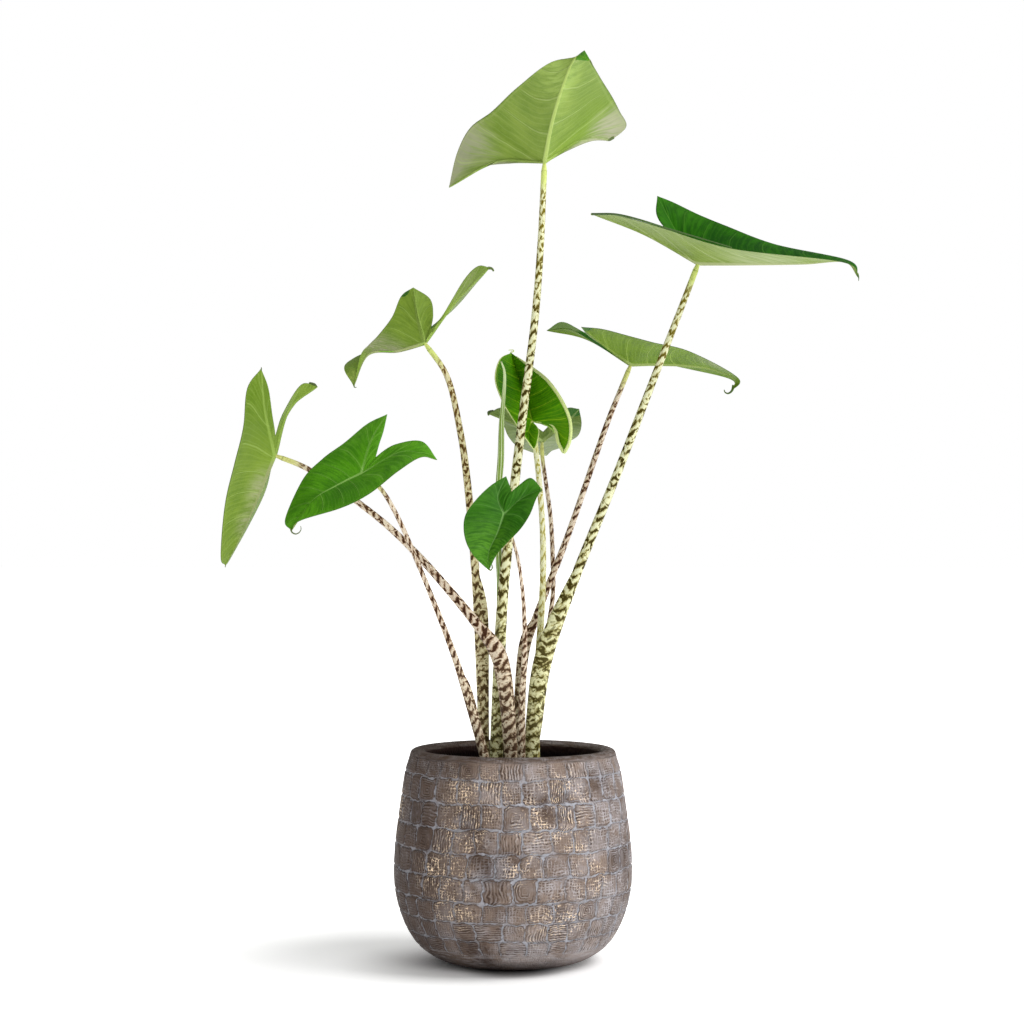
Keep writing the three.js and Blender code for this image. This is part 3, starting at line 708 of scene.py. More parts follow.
@dataclass(frozen=True)
class StalkFinish:
    """A stalk's skin: cream with zigzag dark bands, thickly mottled near the soil, plain green on top."""

    name: str
    skin: Colour = paint(198, 200, 166)
    # Paler skin near the soil: partly the stalk's own, partly painted light against the shade there.
    low: Colour = paint(242, 240, 186)
    top: Colour = paint(192, 204, 116)
    band: Colour = paint(56, 46, 0)
    halo: Colour = paint(134, 120, 20)
    fleck: Colour = paint(56, 56, 0)
    pitch: float = 12.5
    zigzag: float = 0.55
    boldness: float = 1.0
    spread: float = 0.5
    mottle_top: float = 230.0
    mottle_share: float = 0.44
    mottle_grain: float = 0.36
    bare_top: float = 26.0
    freshness: float = 0.5

    def band_wave(self, g: NodeGraph, turn: Wire, length: Wire, skin_place: Wire) -> Wire:
        """How near a point is to the middle of a band.

        A band is the crest of a triangle wave along the stalk. The wave is shifted by a zigzag of three
        points round the stalk and by noise, and long fibres of noise fray it. Some bands fade out.

        Args:
            g: The graph.
            turn: The turn round the stalk.
            length: The length along it in millimetres.
            skin_place: The place on the skin, for noise.

        Returns:
            Values from below 0, between two bands, to about 1 on a band.
        """
        drift = (g.noise(skin_place, 0.09, 2.0, 0.5) - 0.5) * 2.4
        zigzag = g.off_middle(g.maths("FRACT", turn * 3.0 + drift))
        count = length / self.pitch + drift + zigzag * self.zigzag
        wave = 1.0 - g.off_middle(g.maths("FRACT", count))
        fray = g.noise(g.stretched(skin_place, (1.0, 1.0, 0.55)), 0.34, 3.0, 0.62)
        faded = g.step(g.noise(skin_place, 0.12, 1.0), 0.5, 0.66) * 0.36
        return wave + (fray - 0.5) * 1.7 - faded

    def material(self) -> bpy.types.Material:
        """The stalk's skin: a halo lies round each band, and the skin is painted darker where it turns away
        from the view, as shade at its sides.

        "plan" holds the turn round the stalk and the length along it, and "size" the length below the
        blade and above the soil, all but the first in millimetres.

        Returns:
            The material.
        """
        g = NodeGraph(self.name)
        turn, length = g.map("plan")
        below, above = g.map("size")
        angle = turn * (2.0 * math.pi)
        skin_place = g.vector(g.maths("COSINE", angle) * 5.0, g.maths("SINE", angle) * 5.0, length)
        wave = self.band_wave(g, turn, length, skin_place)
        start = 1.0 - self.spread
        bands = g.step(wave, start - 0.02, start + 0.24)
        halo = g.step(wave, start - 0.34, start + 0.02)
        mottle = g.noise(g.stretched(skin_place, (1.0, 1.0, 0.6)), self.mottle_grain, 3.0, 0.6, 0.9)
        cut = 1.0 - self.mottle_share
        low = g.step(above, self.mottle_top, self.mottle_top * 0.4)
        tip = g.step(below, self.bare_top + 14.0, self.bare_top - 12.0)
        lit = 1.0 - tip * 0.92 - low * 0.12
        # Paler near the soil: the stalk's own paler base, lifted further by painted light against the shade
        # there.
        paler_and_lit_base = low * 0.5 + g.noise(skin_place, 0.09, 2.0) * 0.4
        colour = g.mixed(tip, g.mixed(paler_and_lit_base * 0.8, self.skin, self.low), self.top)
        colour = g.mixed(halo * lit * (0.72 * self.boldness), colour, self.halo)
        colour = g.mixed(g.step(mottle, cut - 0.08, cut + 0.02) * low * 0.45, colour, self.halo)
        colour = g.mixed(g.step(mottle, cut, cut + 0.07) * low * 0.85, colour, self.fleck)
        band = g.mixed(g.step(below, 220.0, 30.0) * self.freshness, self.band, self.halo)
        colour = g.mixed(bands * lit * self.boldness, colour, band)
        # Painted shade: the skin darkens where it turns away from the view.
        facing = g.node("ShaderNodeLayerWeight", {"Blend": 0.5}, "Facing")
        colour = g.mixed(g.step(facing, 0.6, 1.0) * 0.45, colour, self.halo)
        height = g.maths("SINE", turn * (2.0 * math.pi * 13.0)) * 0.3 + g.noise(skin_place, 0.9, 3.0)
        return g.finished(Base_Color=colour, Roughness=g.spread(mottle, 0.42, 0.58),
                          Normal=g.bumped(height, 0.25, 0.0006), Specular_IOR_Level=0.1)


class Venation:
    """The nodes that draw a blade's rib and veins: masks that its colours are built on."""

    def __init__(self, g: NodeGraph, veins: float, rib_reach: float) -> None:
        """Makes the nodes.

        "plan" holds u, from -1 at the lobe's tip to 1 at the leaf's tip, and v, from 0 on the rib to 1 on
        the margin. "size" holds the millimetres from the rib, and the side. Lateral veins are the whole
        numbers of a count along u that first falls back with v and then leans forward. It runs half as
        fast on the lobes, which are shorter.

        Args:
            g: The graph that they belong to.
            veins: Number of lateral veins on each side from the stalk to the tip.
            rib_reach: Reach of the rib beside its middle, in millimetres.
        """
        self.place = g.place()
        self.u, self.v = g.map("plan")
        reach, side = g.map("size")
        lean = self.v * g.maths("MULTIPLY_ADD", self.v, LEAN_AHEAD, -LEAN_BACK)
        along = self.u * 0.5 + g.most(self.u, 0.0) * 0.5
        sway = (g.noise(self.place, 14.0, 2.0) - 0.5) * 0.34
        count = (along - lean) * veins + sway + side * 0.37
        off = abs(g.maths("FRACT", count) - 0.5) * 2.0
        width = g.maths("MULTIPLY_ADD", self.v, -0.05, 0.085)
        self.main = g.step(off / width, 1.3, 0.3) * g.step(self.v, 0.97, 0.86)
        self.fine = g.step(abs(g.maths("FRACT", count * 6.0) - 0.5) * 2.0, 0.3, 0.05) * 0.36
        self.net = g.step(g.cracks(self.place, 210.0), 0.1, 0.02)
        self.grain = g.noise(g.vector(count * 5.0, self.v * 1.6, side * 3.0), 1.3, 3.0, 0.6)
        hem = g.step(abs(self.v - 0.955), 0.02, 0.006)
        self.veins = g.most(g.most(self.main, g.most(self.fine, self.net * 0.07)), hem * 0.4)
        taper = g.maths("MULTIPLY_ADD", abs(self.u), -1.5, 2.0)
        self.rib = g.step(reach / taper, rib_reach, rib_reach * 0.45)


@dataclass(frozen=True)
class Patch:
    """A place on a blade painted another colour, such as a corner that is turned over or a part darkened as
    painted shade.
    """

    centre: Point
    reach: float
    colour: Colour
    soft: float = 0.1
    share: float = 1.0


@dataclass(frozen=True)
class BladeFinish:
    """One face of a blade: its green, its rib and veins, its sheen, and a pale tint towards the margin that
    is partly dust and partly painted sheen.
    """

    name: str
    green: Colour
    shade: Colour
    vein: Colour
    rib: Colour
    rim: Colour
    # Pale tint towards the margin and on the lobes: partly dust, partly painted sheen.
    dust_and_sheen: Colour
    dust_and_sheen_share: float = 0.35
    vein_share: float = 0.5
    veins: float = 5.4
    gloss: float = 0.4
    rib_reach: float = 2.2
    sheen: float = 0.16
    dust_and_sheen_on_lobes: float = 0.7
    lobe_rib: Colour | None = None
    lobe_rib_share: float = 0.3
    patches: tuple[Patch, ...] = ()

    def patched(self, g: NodeGraph, lines: Venation, colour: Wire) -> Wire:
        """The colour with the patches laid over it. The grain breaks up those with a soft edge.

        Args:
            g: The graph.
            lines: The layout of the veins.
            colour: The colour under the patches.

        Returns:
            The new colour.
        """
        for patch in self.patches:
            near = g.step(g.gap(lines.place, patch.centre), patch.reach, patch.reach * (1.0 - patch.soft))
            if patch.soft > SOFT_EDGE:
                near = near * g.spread(g.step(lines.grain, 0.38, 0.62), 0.3, 1.0)
            colour = g.mixed(near * patch.share, colour, patch.colour)
        return colour

    def ribbed(self, g: NodeGraph, lines: Venation, colour: Wire) -> Wire:
        """The colour with the veins and the rib over it. The rib fades on the lobes and towards the tip.

        Args:
            g: The graph.
            lines: The layout of the veins.
            colour: The colour under them.

        Returns:
            The new colour.
        """
        colour = g.mixed(lines.veins * self.vein_share, colour, self.vein)
        strength = g.spread(g.step(lines.u, -0.2, 0.0), self.lobe_rib_share, 0.85)
        strength = strength * g.spread(g.step(lines.u, 0.2, 0.9), 1.0, 0.5)
        ridge = g.mixed(g.step(lines.u, 0.0, 0.14), self.lobe_rib or self.rib, self.rib)
        return g.mixed(lines.rib * strength, colour, ridge)

    def material(self) -> bpy.types.Material:
        """The blade's skin: a pale tint, partly dust and partly painted sheen, lies in streaks towards the
        margin and on the lobes.

        Returns:
            The material.
        """
        g = NodeGraph(self.name)
        lines = Venation(g, self.veins, self.rib_reach)
        cloud = g.noise(lines.place, 24.0, 4.0, 0.6)
        colour = g.mixed(g.step(cloud * 0.5 + lines.grain * 0.5, 0.36, 0.64), self.shade, self.green)
        colour = self.patched(g, lines, colour)
        # A pale tint, partly dust and partly painted sheen, gathers in streaks towards the margin and the
        # lobes.
        far_out = lines.v * 0.6 + g.step(lines.u, 0.1, -0.6) * self.dust_and_sheen_on_lobes
        streaks = lines.grain * 0.6 + lines.fine * -0.4
        colour = g.mixed(g.step(far_out + streaks, 0.85, 1.5) * self.dust_and_sheen_share, colour, self.dust_and_sheen)
        colour = self.ribbed(g, lines, colour)
        colour = g.mixed(g.step(lines.v, 0.982, 0.995) * 0.8, colour, self.rim)
        height = lines.main + g.most(lines.fine, lines.net) * 0.25 + lines.grain * 0.7
        height = height * g.spread(g.step(lines.u, 0.05, -0.25), 1.0, 0.12)
        return g.finished(Base_Color=colour, Roughness=g.spread(cloud, self.gloss, self.gloss + 0.14),
                          Normal=g.bumped(height, 0.45, 0.0008), Specular_IOR_Level=self.sheen)


@dataclass(frozen=True)
class SpearFinish:
    """The rolled leaf's outside: green with pale stripes along it."""

    name: str = "rolled_leaf"
    green: Colour = paint(110, 138, 46)
    stripe: Colour = paint(206, 218, 176)
    tip: Colour = paint(196, 212, 160)

    def material(self) -> bpy.types.Material:
        """The rolled leaf's skin: stripes are lines of equal turn round it that drift slowly along it.

        Returns:
            The material.
        """
        g = NodeGraph(self.name)
        turn, length = g.map("plan")
        below, _ = g.map("size")
        stripes = g.maths("SINE", (turn + length * 0.0011) * (2.0 * math.pi * 7.0))
        angle = turn * (2.0 * math.pi)
        skin_place = g.vector(g.maths("COSINE", angle), g.maths("SINE", angle), length * 0.03)
        cloud = g.noise(skin_place, 2.0, 3.0)
        line = g.step(stripes + cloud * 1.2, 1.0, 1.5)
        colour = g.mixed(line * 0.75, self.green, self.stripe)
        colour = g.mixed(g.step(below, 60.0, 5.0), colour, self.tip)
        return g.finished(Base_Color=colour, Roughness=g.spread(cloud, 0.35, 0.5),
                          Normal=g.bumped(line, 0.3, 0.0005))


@dataclass(frozen=True)
class FloorFinish:
    """The studio's white floor, which glows with painted light rising away from the plant, so that it meets
    the background and leaves a soft shadow only near the pot; under the pot a contact shadow is painted.

    Its light rises in steps of distance from a point beside the pot, given as start, end and strength.
    """

    white: Colour = paint(252, 252, 252)
    middle: Point = (-0.03, -0.035, 0.0)
    rises: tuple[tuple[float, float, float], ...] = ((0.05, 0.17, 0.34), (0.17, 0.46, 0.46), (0.5, 1.8, 0.4))
    contact_shadow_grey: Colour = paint(150, 148, 148)
    under: Point = (0.0, -0.06, 0.0)

    def material(self) -> bpy.types.Material:
        """The floor: its own painted light rises with the distance, and under the pot's belly a painted
        contact shadow greys it.

        Returns:
            The material.
        """
        g = NodeGraph("studio_floor")
        place = g.place()
        # Painted contact shadow: the floor greys under the pot's belly.
        colour = g.mixed(g.step(g.gap(place, self.under), 0.06, 0.02), self.white, self.contact_shadow_grey)
        distance = g.gap(place, self.middle)
        # Painted light: the floor's own glow, which washes out shadows away from the pot.
        light = 0.0
        for start, end, strength in self.rises:
            light = light + g.step(distance, start, end) * strength
        return g.finished(Base_Color=colour, Roughness=0.9, Specular_IOR_Level=0.0,
                          Emission_Color=self.white, Emission_Strength=light)


class Side(Enum):
    """The two halves of a blade, as seen on its upper side with the tip ahead."""

    LEFT = 1
    RIGHT = -1


@dataclass(frozen=True)
class Half:
    """One half of a blade: the points of its lobe's tip, outer margin, lobe rib and inner margin."""

    lobe: Point
    margin: list[Point]
    costa: Point
    sinus: list[Point]


@dataclass(frozen=True)
class Sheath:
    """The edge of a stalk's sheath: where it points, over which share it stands out, and how far."""

    angle: float
    start: float
    end: float
    width: float


@dataclass
class Stalk:
    """A round stalk along a smooth line, its radius given at the foot, at each point and at the end."""

    points: list[Point]
    girth: list[float]
    sheath: Sheath | None = None
    sides: int = 36
    furrow: float = 0.0
    rooted: bool = True

    def line(self) -> Array:
        """The control points with the foot in the soil put before them, if it has one.

        Returns:
            Points. The foot lies below the first by the planting depth and leans to the side as the
            stalk does above it.
        """
        p = np.array(self.points, float)
        if not self.rooted:
            return p
        lean = FOOT_DEPTH * (p[1, 0] - p[0, 0]) / (p[1, 2] - p[0, 2])
        return np.vstack([p[0] - [lean, 0.0, FOOT_DEPTH], p])

    def lengths(self) -> tuple[Array, Array]:
        """Measures the line in small steps.

        Returns:
            Shares of the line and the length along it at each, both rising.
        """
        shares = np.linspace(0.0, 1.0, LINE_STEPS + 1)
        places = curve_at(self.line(), shares, True)
        steps = np.linalg.norm(np.diff(places, axis=0), axis=1)
        return shares, np.concatenate([[0.0], np.cumsum(steps)])

    def share_before_end(self, distance: float) -> float:
        """The share at this distance before the end, in millimetres."""
        shares, lengths = self.lengths()
        return float(np.interp(lengths[-1] - distance, lengths, shares))

    def reaches(self, shares: Array, along: Array, angles: Array, radii: Point2 | None) -> Array:
        """The skin's distance from the line.

        It is the girth, plus the sheath's width times the cube of the cosine of the angle from it, plus
        three waves round the stalk, as high as the furrow and winding slowly.

        Args:
            shares: Places along the line.
            along: The lengths at them.
            angles: Angles round the line.
            radii: First and last radius where the girth isn't used.

        Returns:
            Distances, a row for each place and a column for each angle.
        """
        if radii is None:
            radius = np.interp(shares, np.linspace(0.0, 1.0, len(self.girth)), self.girth)
        else:
            radius = np.linspace(*radii, len(shares))
        reach = radius[:, None] + np.zeros(len(angles))
        if self.sheath:
            place = np.clip((shares - self.sheath.start) / (self.sheath.end - self.sheath.start), 0.0, 1.0)
            edge = self.sheath.width * np.sin(np.pi * place**2)
            lean = np.maximum(0.0, np.cos(angles - math.radians(self.sheath.angle))) ** 3
            reach = reach + edge[:, None] * lean
        return reach + self.furrow * np.cos(3.0 * angles + 0.02 * along[:, None]) * radius[:, None]

    def patch(self, work: Patchwork, start: float, end: float, radii: Point2 | None = None,
              step: float = 2.2, finish: int = 0) -> None:
        """Adds the stalk's skin between two shares, closed at both ends.

        The skin is centre + r(a) (cos a across + sin a deep), where across is square to the line in the
        picture's plane and deep is square to both.

        Args:
            work: The mesh in the making.
            start: First share.
            end: Last share.
            radii: First and last radius where the girth isn't used.
            step: Length of a ring, in millimetres.
            finish: Index of the material.
        """
        all_shares, all_lengths = self.lengths()
        first, last = np.interp([start, end], all_shares, all_lengths)
        along = np.linspace(first, last, max(4, int((last - first) / step)) + 1)
        shares = np.interp(along, all_lengths, all_shares)
        line = self.line()
        centre = curve_at(line, shares, True)
        forward = unit(curve_at(line, shares + NUDGE, True) - curve_at(line, shares - NUDGE, True))
        if start == 0.0 and self.rooted:
            forward[0] = (0.0, 0.0, 1.0)
        across = unit(np.cross([0.0, 1.0, 0.0], forward))
        deep = np.cross(forward, across)
        turns = np.linspace(0.0, 1.0, self.sides + 1)
        angles = 2.0 * np.pi * turns
        out = np.cos(angles)[:, None] * across[:, None] + np.sin(angles)[:, None] * deep[:, None]
        grid = centre[:, None] + self.reaches(shares, along, angles, radii)[..., None] * out
        ends = np.repeat(centre[[0, -1]][:, None], len(angles), 1)
        grid = np.concatenate([ends[:1], grid, ends[1:]])
        length = np.concatenate([along[:1], along, along[-1:]])[:, None]
        maps = joined(turns, length, all_lengths[-1] - length, length - FOOT_DEPTH)
        work.add_grid(grid, maps, finish, flip=True)


@dataclass(frozen=True)
class Curl:
    """A thin tapering end or fold of a blade, rolled up or dried to a thread: its line and end radii."""

    points: list[Point]
    radii: Point2 = (0.9, 0.3)


@dataclass
class Leaf:
    """One leaf: its blade by the points of ribs and margins, its stalk, and the finishes of both."""

    name: str
    slot: str
    junction: Point
    notch: Point
    midrib: list[Point]
    left: Half
    right: Half
    stalk: list[Point]
    girth: list[float]
    upper: BladeFinish
    under: BladeFinish
    skin: StalkFinish
    sheath: Sheath | None = None
    curls: list[Curl] = field(default_factory=list)
    thickness: float = 0.8
    pillow: float = 0.45
    wave: float = 0.6
    beads: Point2 | None = None
    steps: tuple[int, int] = (110, 20)

    def stem(self) -> Stalk:
        """The leaf's stalk, up to the junction."""
        return Stalk([*self.stalk, self.junction], self.girth, self.sheath)

    def rib(self, half: Half, u: Array) -> Array:
        """The rib line of a half: the lobe's rib for u below 0, the midrib above it.

        Args:
            half: The half's points.
            u: Places along it, from -1 at the lobe's tip to 1 at the leaf's tip.

        Returns:
            The points there.
        """
        costa = curve_at([self.junction, half.costa, half.lobe], -u)
        midrib = curve_at([self.junction, *self.midrib], u)
        return np.where((u < 0.0)[..., None], costa, midrib)

    def borders(self, half: Half, inner: bool) -> tuple[Array, Array, Array, Array]:
        """The two lines that a strip of the blade lies between.

        Args:
            half: The half's points.
            inner: Whether it is the strip beside the notch.

        Returns:
            u along the lines, v across them, the points on the rib and the points on the edge.
        """
        along, across = self.steps
        if inner:
            t = np.linspace(0.0, 1.0, along // 2 + 1)
            start = curve_at([self.junction, half.costa, half.lobe], t)
            end = curve_at([self.notch, *half.sinus[::-1], half.lobe], t)
            return -t, np.linspace(0.0, 1.0, across // 2 + 1) ** 1.3, start, end
        u = 0.5 * np.sin(np.linspace(-0.5, 0.5, along + 1) * np.pi) + 0.5 * np.linspace(-1.0, 1.0, along + 1)
        end = curve_at([half.lobe, *half.margin, self.midrib[-1]], (u + 1.0) / 2.0)
        v = np.linspace(0.0, HEM[0], across - 1) ** 1.5 * HEM[0] ** -0.5
        return u, np.concatenate([v, HEM[1:]]), self.rib(half, u), end

    def strip(self, half: Half, side: Side, inner: bool) -> tuple[Array, Array]:
        """The middle surface of one strip of the blade.

        The outer strip lies between the ribs and the outer margin, the inner one between the lobe's rib
        and the edge beside the notch. A point is the rib's point plus v times the way to the margin,
        plus an arch of 4 v (1 - v) along the strip's normal, a low pillow between veins and a slow wave
        that grows towards the margin.

        Args:
            half: The half's points.
            side: Which half it is.
            inner: Whether it is the inner strip.

        Returns:
            The grid of points and its four map values: u, v, millimetres from the rib, and the side.
        """
        u, v, start, end = self.borders(half, inner)
        ahead = self.rib(half, np.minimum(1.0, u + AHEAD)) - self.rib(half, np.maximum(-1.0, u - AHEAD))
        way = end - start
        width = np.linalg.norm(way, axis=-1)[:, None]
        normal = unit(np.cross(unit(ahead), way)) * side.value * (-1.0 if inner else 1.0)
        u = u[:, None]
        room = np.minimum(1.0, width / PILLOW_WIDTH)
        count = self.upper.veins * (u - v * (LEAN_AHEAD * v - LEAN_BACK))
        ripple = wander(u * 1.4 + side.value, v + 3.0 * inner, len(self.name) + side.value)
        swell = self.pillow * room * np.cos(2.0 * np.pi * (count + 0.5))
        pillow = swell * np.minimum(1.0, 3.0 * v) * (1.0 - v)
        lift = BLADE_ARCH * width * 4.0 * v * (1.0 - v) - pillow
        lift = lift + self.wave * room * ripple * v**2 * (1.0 - u**4)
        if inner:
            lift = lift * np.minimum(1.0, -10.0 * u)
        grid = start[:, None] + way[:, None] * v[:, None] + normal[:, None] * lift[..., None]
        return grid, joined(u, v, width * v, side.value)

    def middle(self) -> Patchwork:
        """The blade's middle surface: an outer and an inner strip on each half.

        Returns:
            The mesh in the making.
        """
        work = Patchwork()
        for half, side in ((self.left, Side.LEFT), (self.right, Side.RIGHT)):
            for inner in (False, True):
                work.add_grid(*self.strip(half, side, inner), flip=side is Side.RIGHT)
        return work

    def blade(self) -> Patchwork:
        """The blade as a closed shell.

        The middle surface's points move along their mean normals: up by half the thickness, and down by
        half of it plus the rib's rise, which is a bell curve of the distance from the rib that shrinks
        towards the tips. A wall joins the two along the free edge.

        Returns:
            The mesh in the making, with the upper finish first, the under finish second and the neck's
            skin third.
        """
        points, faces, maps, _ = self.middle().welded()
        normal = mean_normals(points, faces)
        loops = maps.reshape(-1, 4)
        value = np.zeros((len(points), 4))
        value[faces.ravel()] = loops
        size = self.girth[-1] / 3.0
        nearness = 1.0 - np.abs(value[:, 0])
        spread = (RIB_SPREAD[0] + RIB_SPREAD[1] * nearness) * size
        rise = RIB_RISE * size * nearness**RIB_FADE * np.exp(-((value[:, 2] / spread) ** 2))
        half_wall = self.thickness * (0.5 - EDGE_THINNING * ease(0.7, 1.0, value[:, 1]))
        above = points + normal * half_wall[:, None]
        below = points - normal * (half_wall + rise)[:, None]
        shell = Patchwork()
        triangles = np.arange(faces.size).reshape(-1, 3)
        shell.add(above[faces.ravel()], loops, triangles, 0)
        shell.add(below[faces.ravel()], loops, triangles[:, ::-1], 1)
        p, q = free_edges(faces).T
        wall = np.stack([above[q], above[p], below[p], below[q]], 1).reshape(-1, 3)
        wall_maps = np.stack([value[q], value[p], value[p], value[q]], 1).reshape(-1, 4)
        base = 4 * np.arange(len(p))[:, None]
        shell.add(wall, wall_maps, np.concatenate([base + [0, 1, 2], base + [0, 2, 3]]), 1)
        self.trim(shell)
        return shell

    def trim(self, shell: Patchwork) -> None:
        """Adds to the blade's shell the neck on its stalk, the curls and the rolled edges.

        Args:
            shell: The mesh in the making.
        """
        stem = self.stem()
        radii = (self.girth[-1], NECK_TIP_SHARE * self.girth[-1])
        stem.patch(shell, stem.share_before_end(NECK), 1.0, radii, 1.0, 2)
        for curl in self.curls:
            Stalk(curl.points, [], sides=10, rooted=False).patch(shell, 0.0, 1.0, curl.radii, 0.5, 1)
        for half, bead in zip((self.left, self.right), self.beads or ()):
            self.roll_edge(shell, half, bead)

    def roll_edge(self, shell: Patchwork, half: Half, radius: float) -> None:
        """Rolls a half's edge into a thin tube, from the notch round the lobe almost to the tip.

        Args:
            shell: The mesh in the making.
            half: The half's points.
            radius: Radius of the tube.
        """
        inner = curve_at([self.notch, *half.sinus[::-1], half.lobe], np.linspace(0.06, 0.96, 16))
        outer = curve_at([half.lobe, *half.margin, self.midrib[-1]], np.linspace(0.015, 0.95, 44))
        line = Stalk([*inner, *outer], [0.4 * radius, *[radius] * 8, 0.3 * radius], sides=12, rooted=False)
        line.patch(shell, 0.0, 1.0, None, 1.5, 1)

    def build(self) -> None:
        """Makes the leaf's stalk and its blade, and puts them in place."""
        skin = self.skin.material()
        stem = self.stem()
        work = Patchwork()
        stem.patch(work, 0.0, stem.share_before_end(NECK))
        dress(work.build(f"stalk_{self.name}", [skin]), "petiole", f"petiole_{self.name}")
        faces = [self.upper.material(), self.under.material(), skin]
        dress(self.blade().build(f"leaf_{self.name}", faces), self.slot, f"blade_{self.name}")


@dataclass
class Spear:
    """The youngest leaf, rolled to a spear: a stalk with three low furrows that wind slowly round it."""

    points: list[Point]
    girth: list[float]
    finish: SpearFinish = SpearFinish()

    def build(self) -> None:
        """Makes the rolled leaf and puts it in place."""
        work = Patchwork()
        Stalk(self.points, self.girth, furrow=0.05).patch(work, 0.0, 1.0)
        dress(work.build("rolled_spear", [self.finish.material()]), "spear", "spear")


@dataclass
class Pot:
    """The stoneware pot: a turned body with rows of raised tiles of drawn widths."""

    profile: list[Point2]
    rows: list[float]
    lip: list[Point2]
    inner: list[Point2]
    columns: int = 30
    cells: int = 17
    levels: int = 11
    foot_rings: int = 8
    lip_rings: int = 15
    inside_rings: int = 36
    jitter: float = 0.3
    row_turn: float = 0.7
    depth: float = 1.1
    dish: float = 0.25
    finish: StonewareFinish = StonewareFinish()

    def tile_turns(self) -> Array:
        """The angle of every column line in every row, drawn as the part's source draws them.

        Returns:
            Angles in rows and columns; the last column is the first one turn on.
        """
        state, factor, addend, modulus = 7, 1664525, 1013904223, 2**32

        def draw() -> float:
            """Draws the next value of a repeatable series.

            Returns:
                A number from 0 to 1.
            """
            nonlocal state
            state = (state * factor + addend) % modulus
            return state / modulus

        turn, rows = 0.0, []
        for _ in range(len(self.rows)):
            edges = [k + turn + self.jitter * (draw() - 0.5) for k in range(self.columns)]
            rows.append([*edges, edges[0] + self.columns])
            turn += self.row_turn * (draw() - 0.5)
        turns = np.array([np.interp(self.lines(), np.arange(self.columns + 1), row) for row in rows])
        return 2.0 * np.pi * turns / self.columns

    def lines(self) -> Array:
        """The column number of every upright line of points."""
        return np.arange(self.columns * self.cells + 1) / self.cells

    def turned(self, points: list[Point2], count: int) -> tuple[Array, Array]:
        """Samples the smooth profile through some points.

        Args:
            points: The radius and the height of each.
            count: Number of samples.

        Returns:
            Radii and heights.
        """
        flat = np.column_stack([points, np.zeros(len(points))]).astype(float)
        places = curve_at(flat, np.linspace(0.0, 1.0, count), True)
        return places[:, 0], places[:, 1]

    def rings(self, turns: Array) -> tuple[Array, Array, Array]:
        """The rings of the outside, from the foot to the lip.

        Args:
            turns: The angles of the column lines in every row.

        Returns:
            Each ring's height, its row number and its angles, which between two rows are their mean.
        """
        foot = np.linspace(0.0, self.rows[0], self.foot_rings + 1)[:-1]
        rings = [(z, -1.0 + z / self.rows[0], turns[0]) for z in foot]
        for row, (low, high) in enumerate(zip(self.rows[:-1], self.rows[1:])):
            for level in range(self.levels):
                share = level / self.levels
                angles = (turns[row] + turns[max(0, row - 1)]) / 2.0 if level == 0 else turns[row]
                rings.append((low + (high - low) * share, row + share, angles))
        heights, rows, angles = (np.array(part) for part in zip(*rings))
        return heights, rows, angles

    def skin_radii(self, heights: Array, rows: Array, angles: Array) -> Array:
        """The outside's radii: the profile less the grooves and the slight dish of each tile.

        A groove lies where the distance from the tile's middle, (|x|^7 + |y|^7)^(1/7), nears 1.

        Args:
            heights: Height of each ring.
            rows: Row number of each ring.
            angles: Angles of each ring's points.

        Returns:
            Radii in rings and points.
        """
        profile_radii, profile_heights = self.turned(self.profile, 600)
        radius = np.interp(heights, profile_heights, profile_radii)[:, None]
        rough = wander(3.0 * np.cos(angles), 3.0 * np.sin(angles) + heights[:, None] / 22.0, 5)
        off_x = np.abs(2.0 * (self.lines() % 1.0) - 1.0)
        off_y = np.abs(2.0 * (rows % 1.0) - 1.0)[:, None]
        edge = (off_x**7 + off_y**7) ** (1.0 / 7.0) + 0.03 * rough
        tiled = (rows >= 0.0)[:, None]
        groove = self.depth * ease(0.86, 1.0, edge)
        return radius - groove * tiled - self.dish * (1.0 - ease(0.0, 0.7, edge)) * tiled

    def build(self) -> None:
        """Makes the pot: the outside's rings, then those of the lip and the inside, closed at both ends.

        "plan" holds column and row numbers, and "size" the angle and, on the inside, the depth below
        the lip.
        """
        turns = self.tile_turns()
        ring_z, ring_row, angles = self.rings(turns)
        inside_radii, inside_z = self.turned([*self.lip, *self.inner], self.inside_rings)
        heights = np.concatenate([[0.0], ring_z, inside_z, [self.inner[-1][1]]])
        pole = np.zeros((1, turns.shape[1]))
        inside = np.repeat(inside_radii[:, None], turns.shape[1], 1)
        radii = np.concatenate([pole, self.skin_radii(ring_z, ring_row, angles), inside, pole])
        inside_angles = np.repeat(turns[-1:], len(inside), 0)
        angles = np.concatenate([turns[:1], angles, inside_angles, turns[-1:]])
        last_row = float(len(self.rows) - 1)
        beyond = last_row + np.linspace(0.0, 1.0, len(inside))
        row = np.concatenate([[-1.0], ring_row, beyond, [last_row + 1.0]])
        grid = joined(radii * np.cos(angles), radii * np.sin(angles), heights[:, None])
        lip_top = max(z for _, z in self.lip)
        past_lip = np.arange(len(heights)) > 1 + len(ring_z) + self.lip_rings
        deep = np.where(past_lip, lip_top - heights, 0.0)
        work = Patchwork()
        work.add_grid(grid, joined(self.lines(), row[:, None], angles, deep[:, None]), flip=True)
        dress(work.build("stoneware_pot", [self.finish.material()]), "pot_stoneware", "pot")


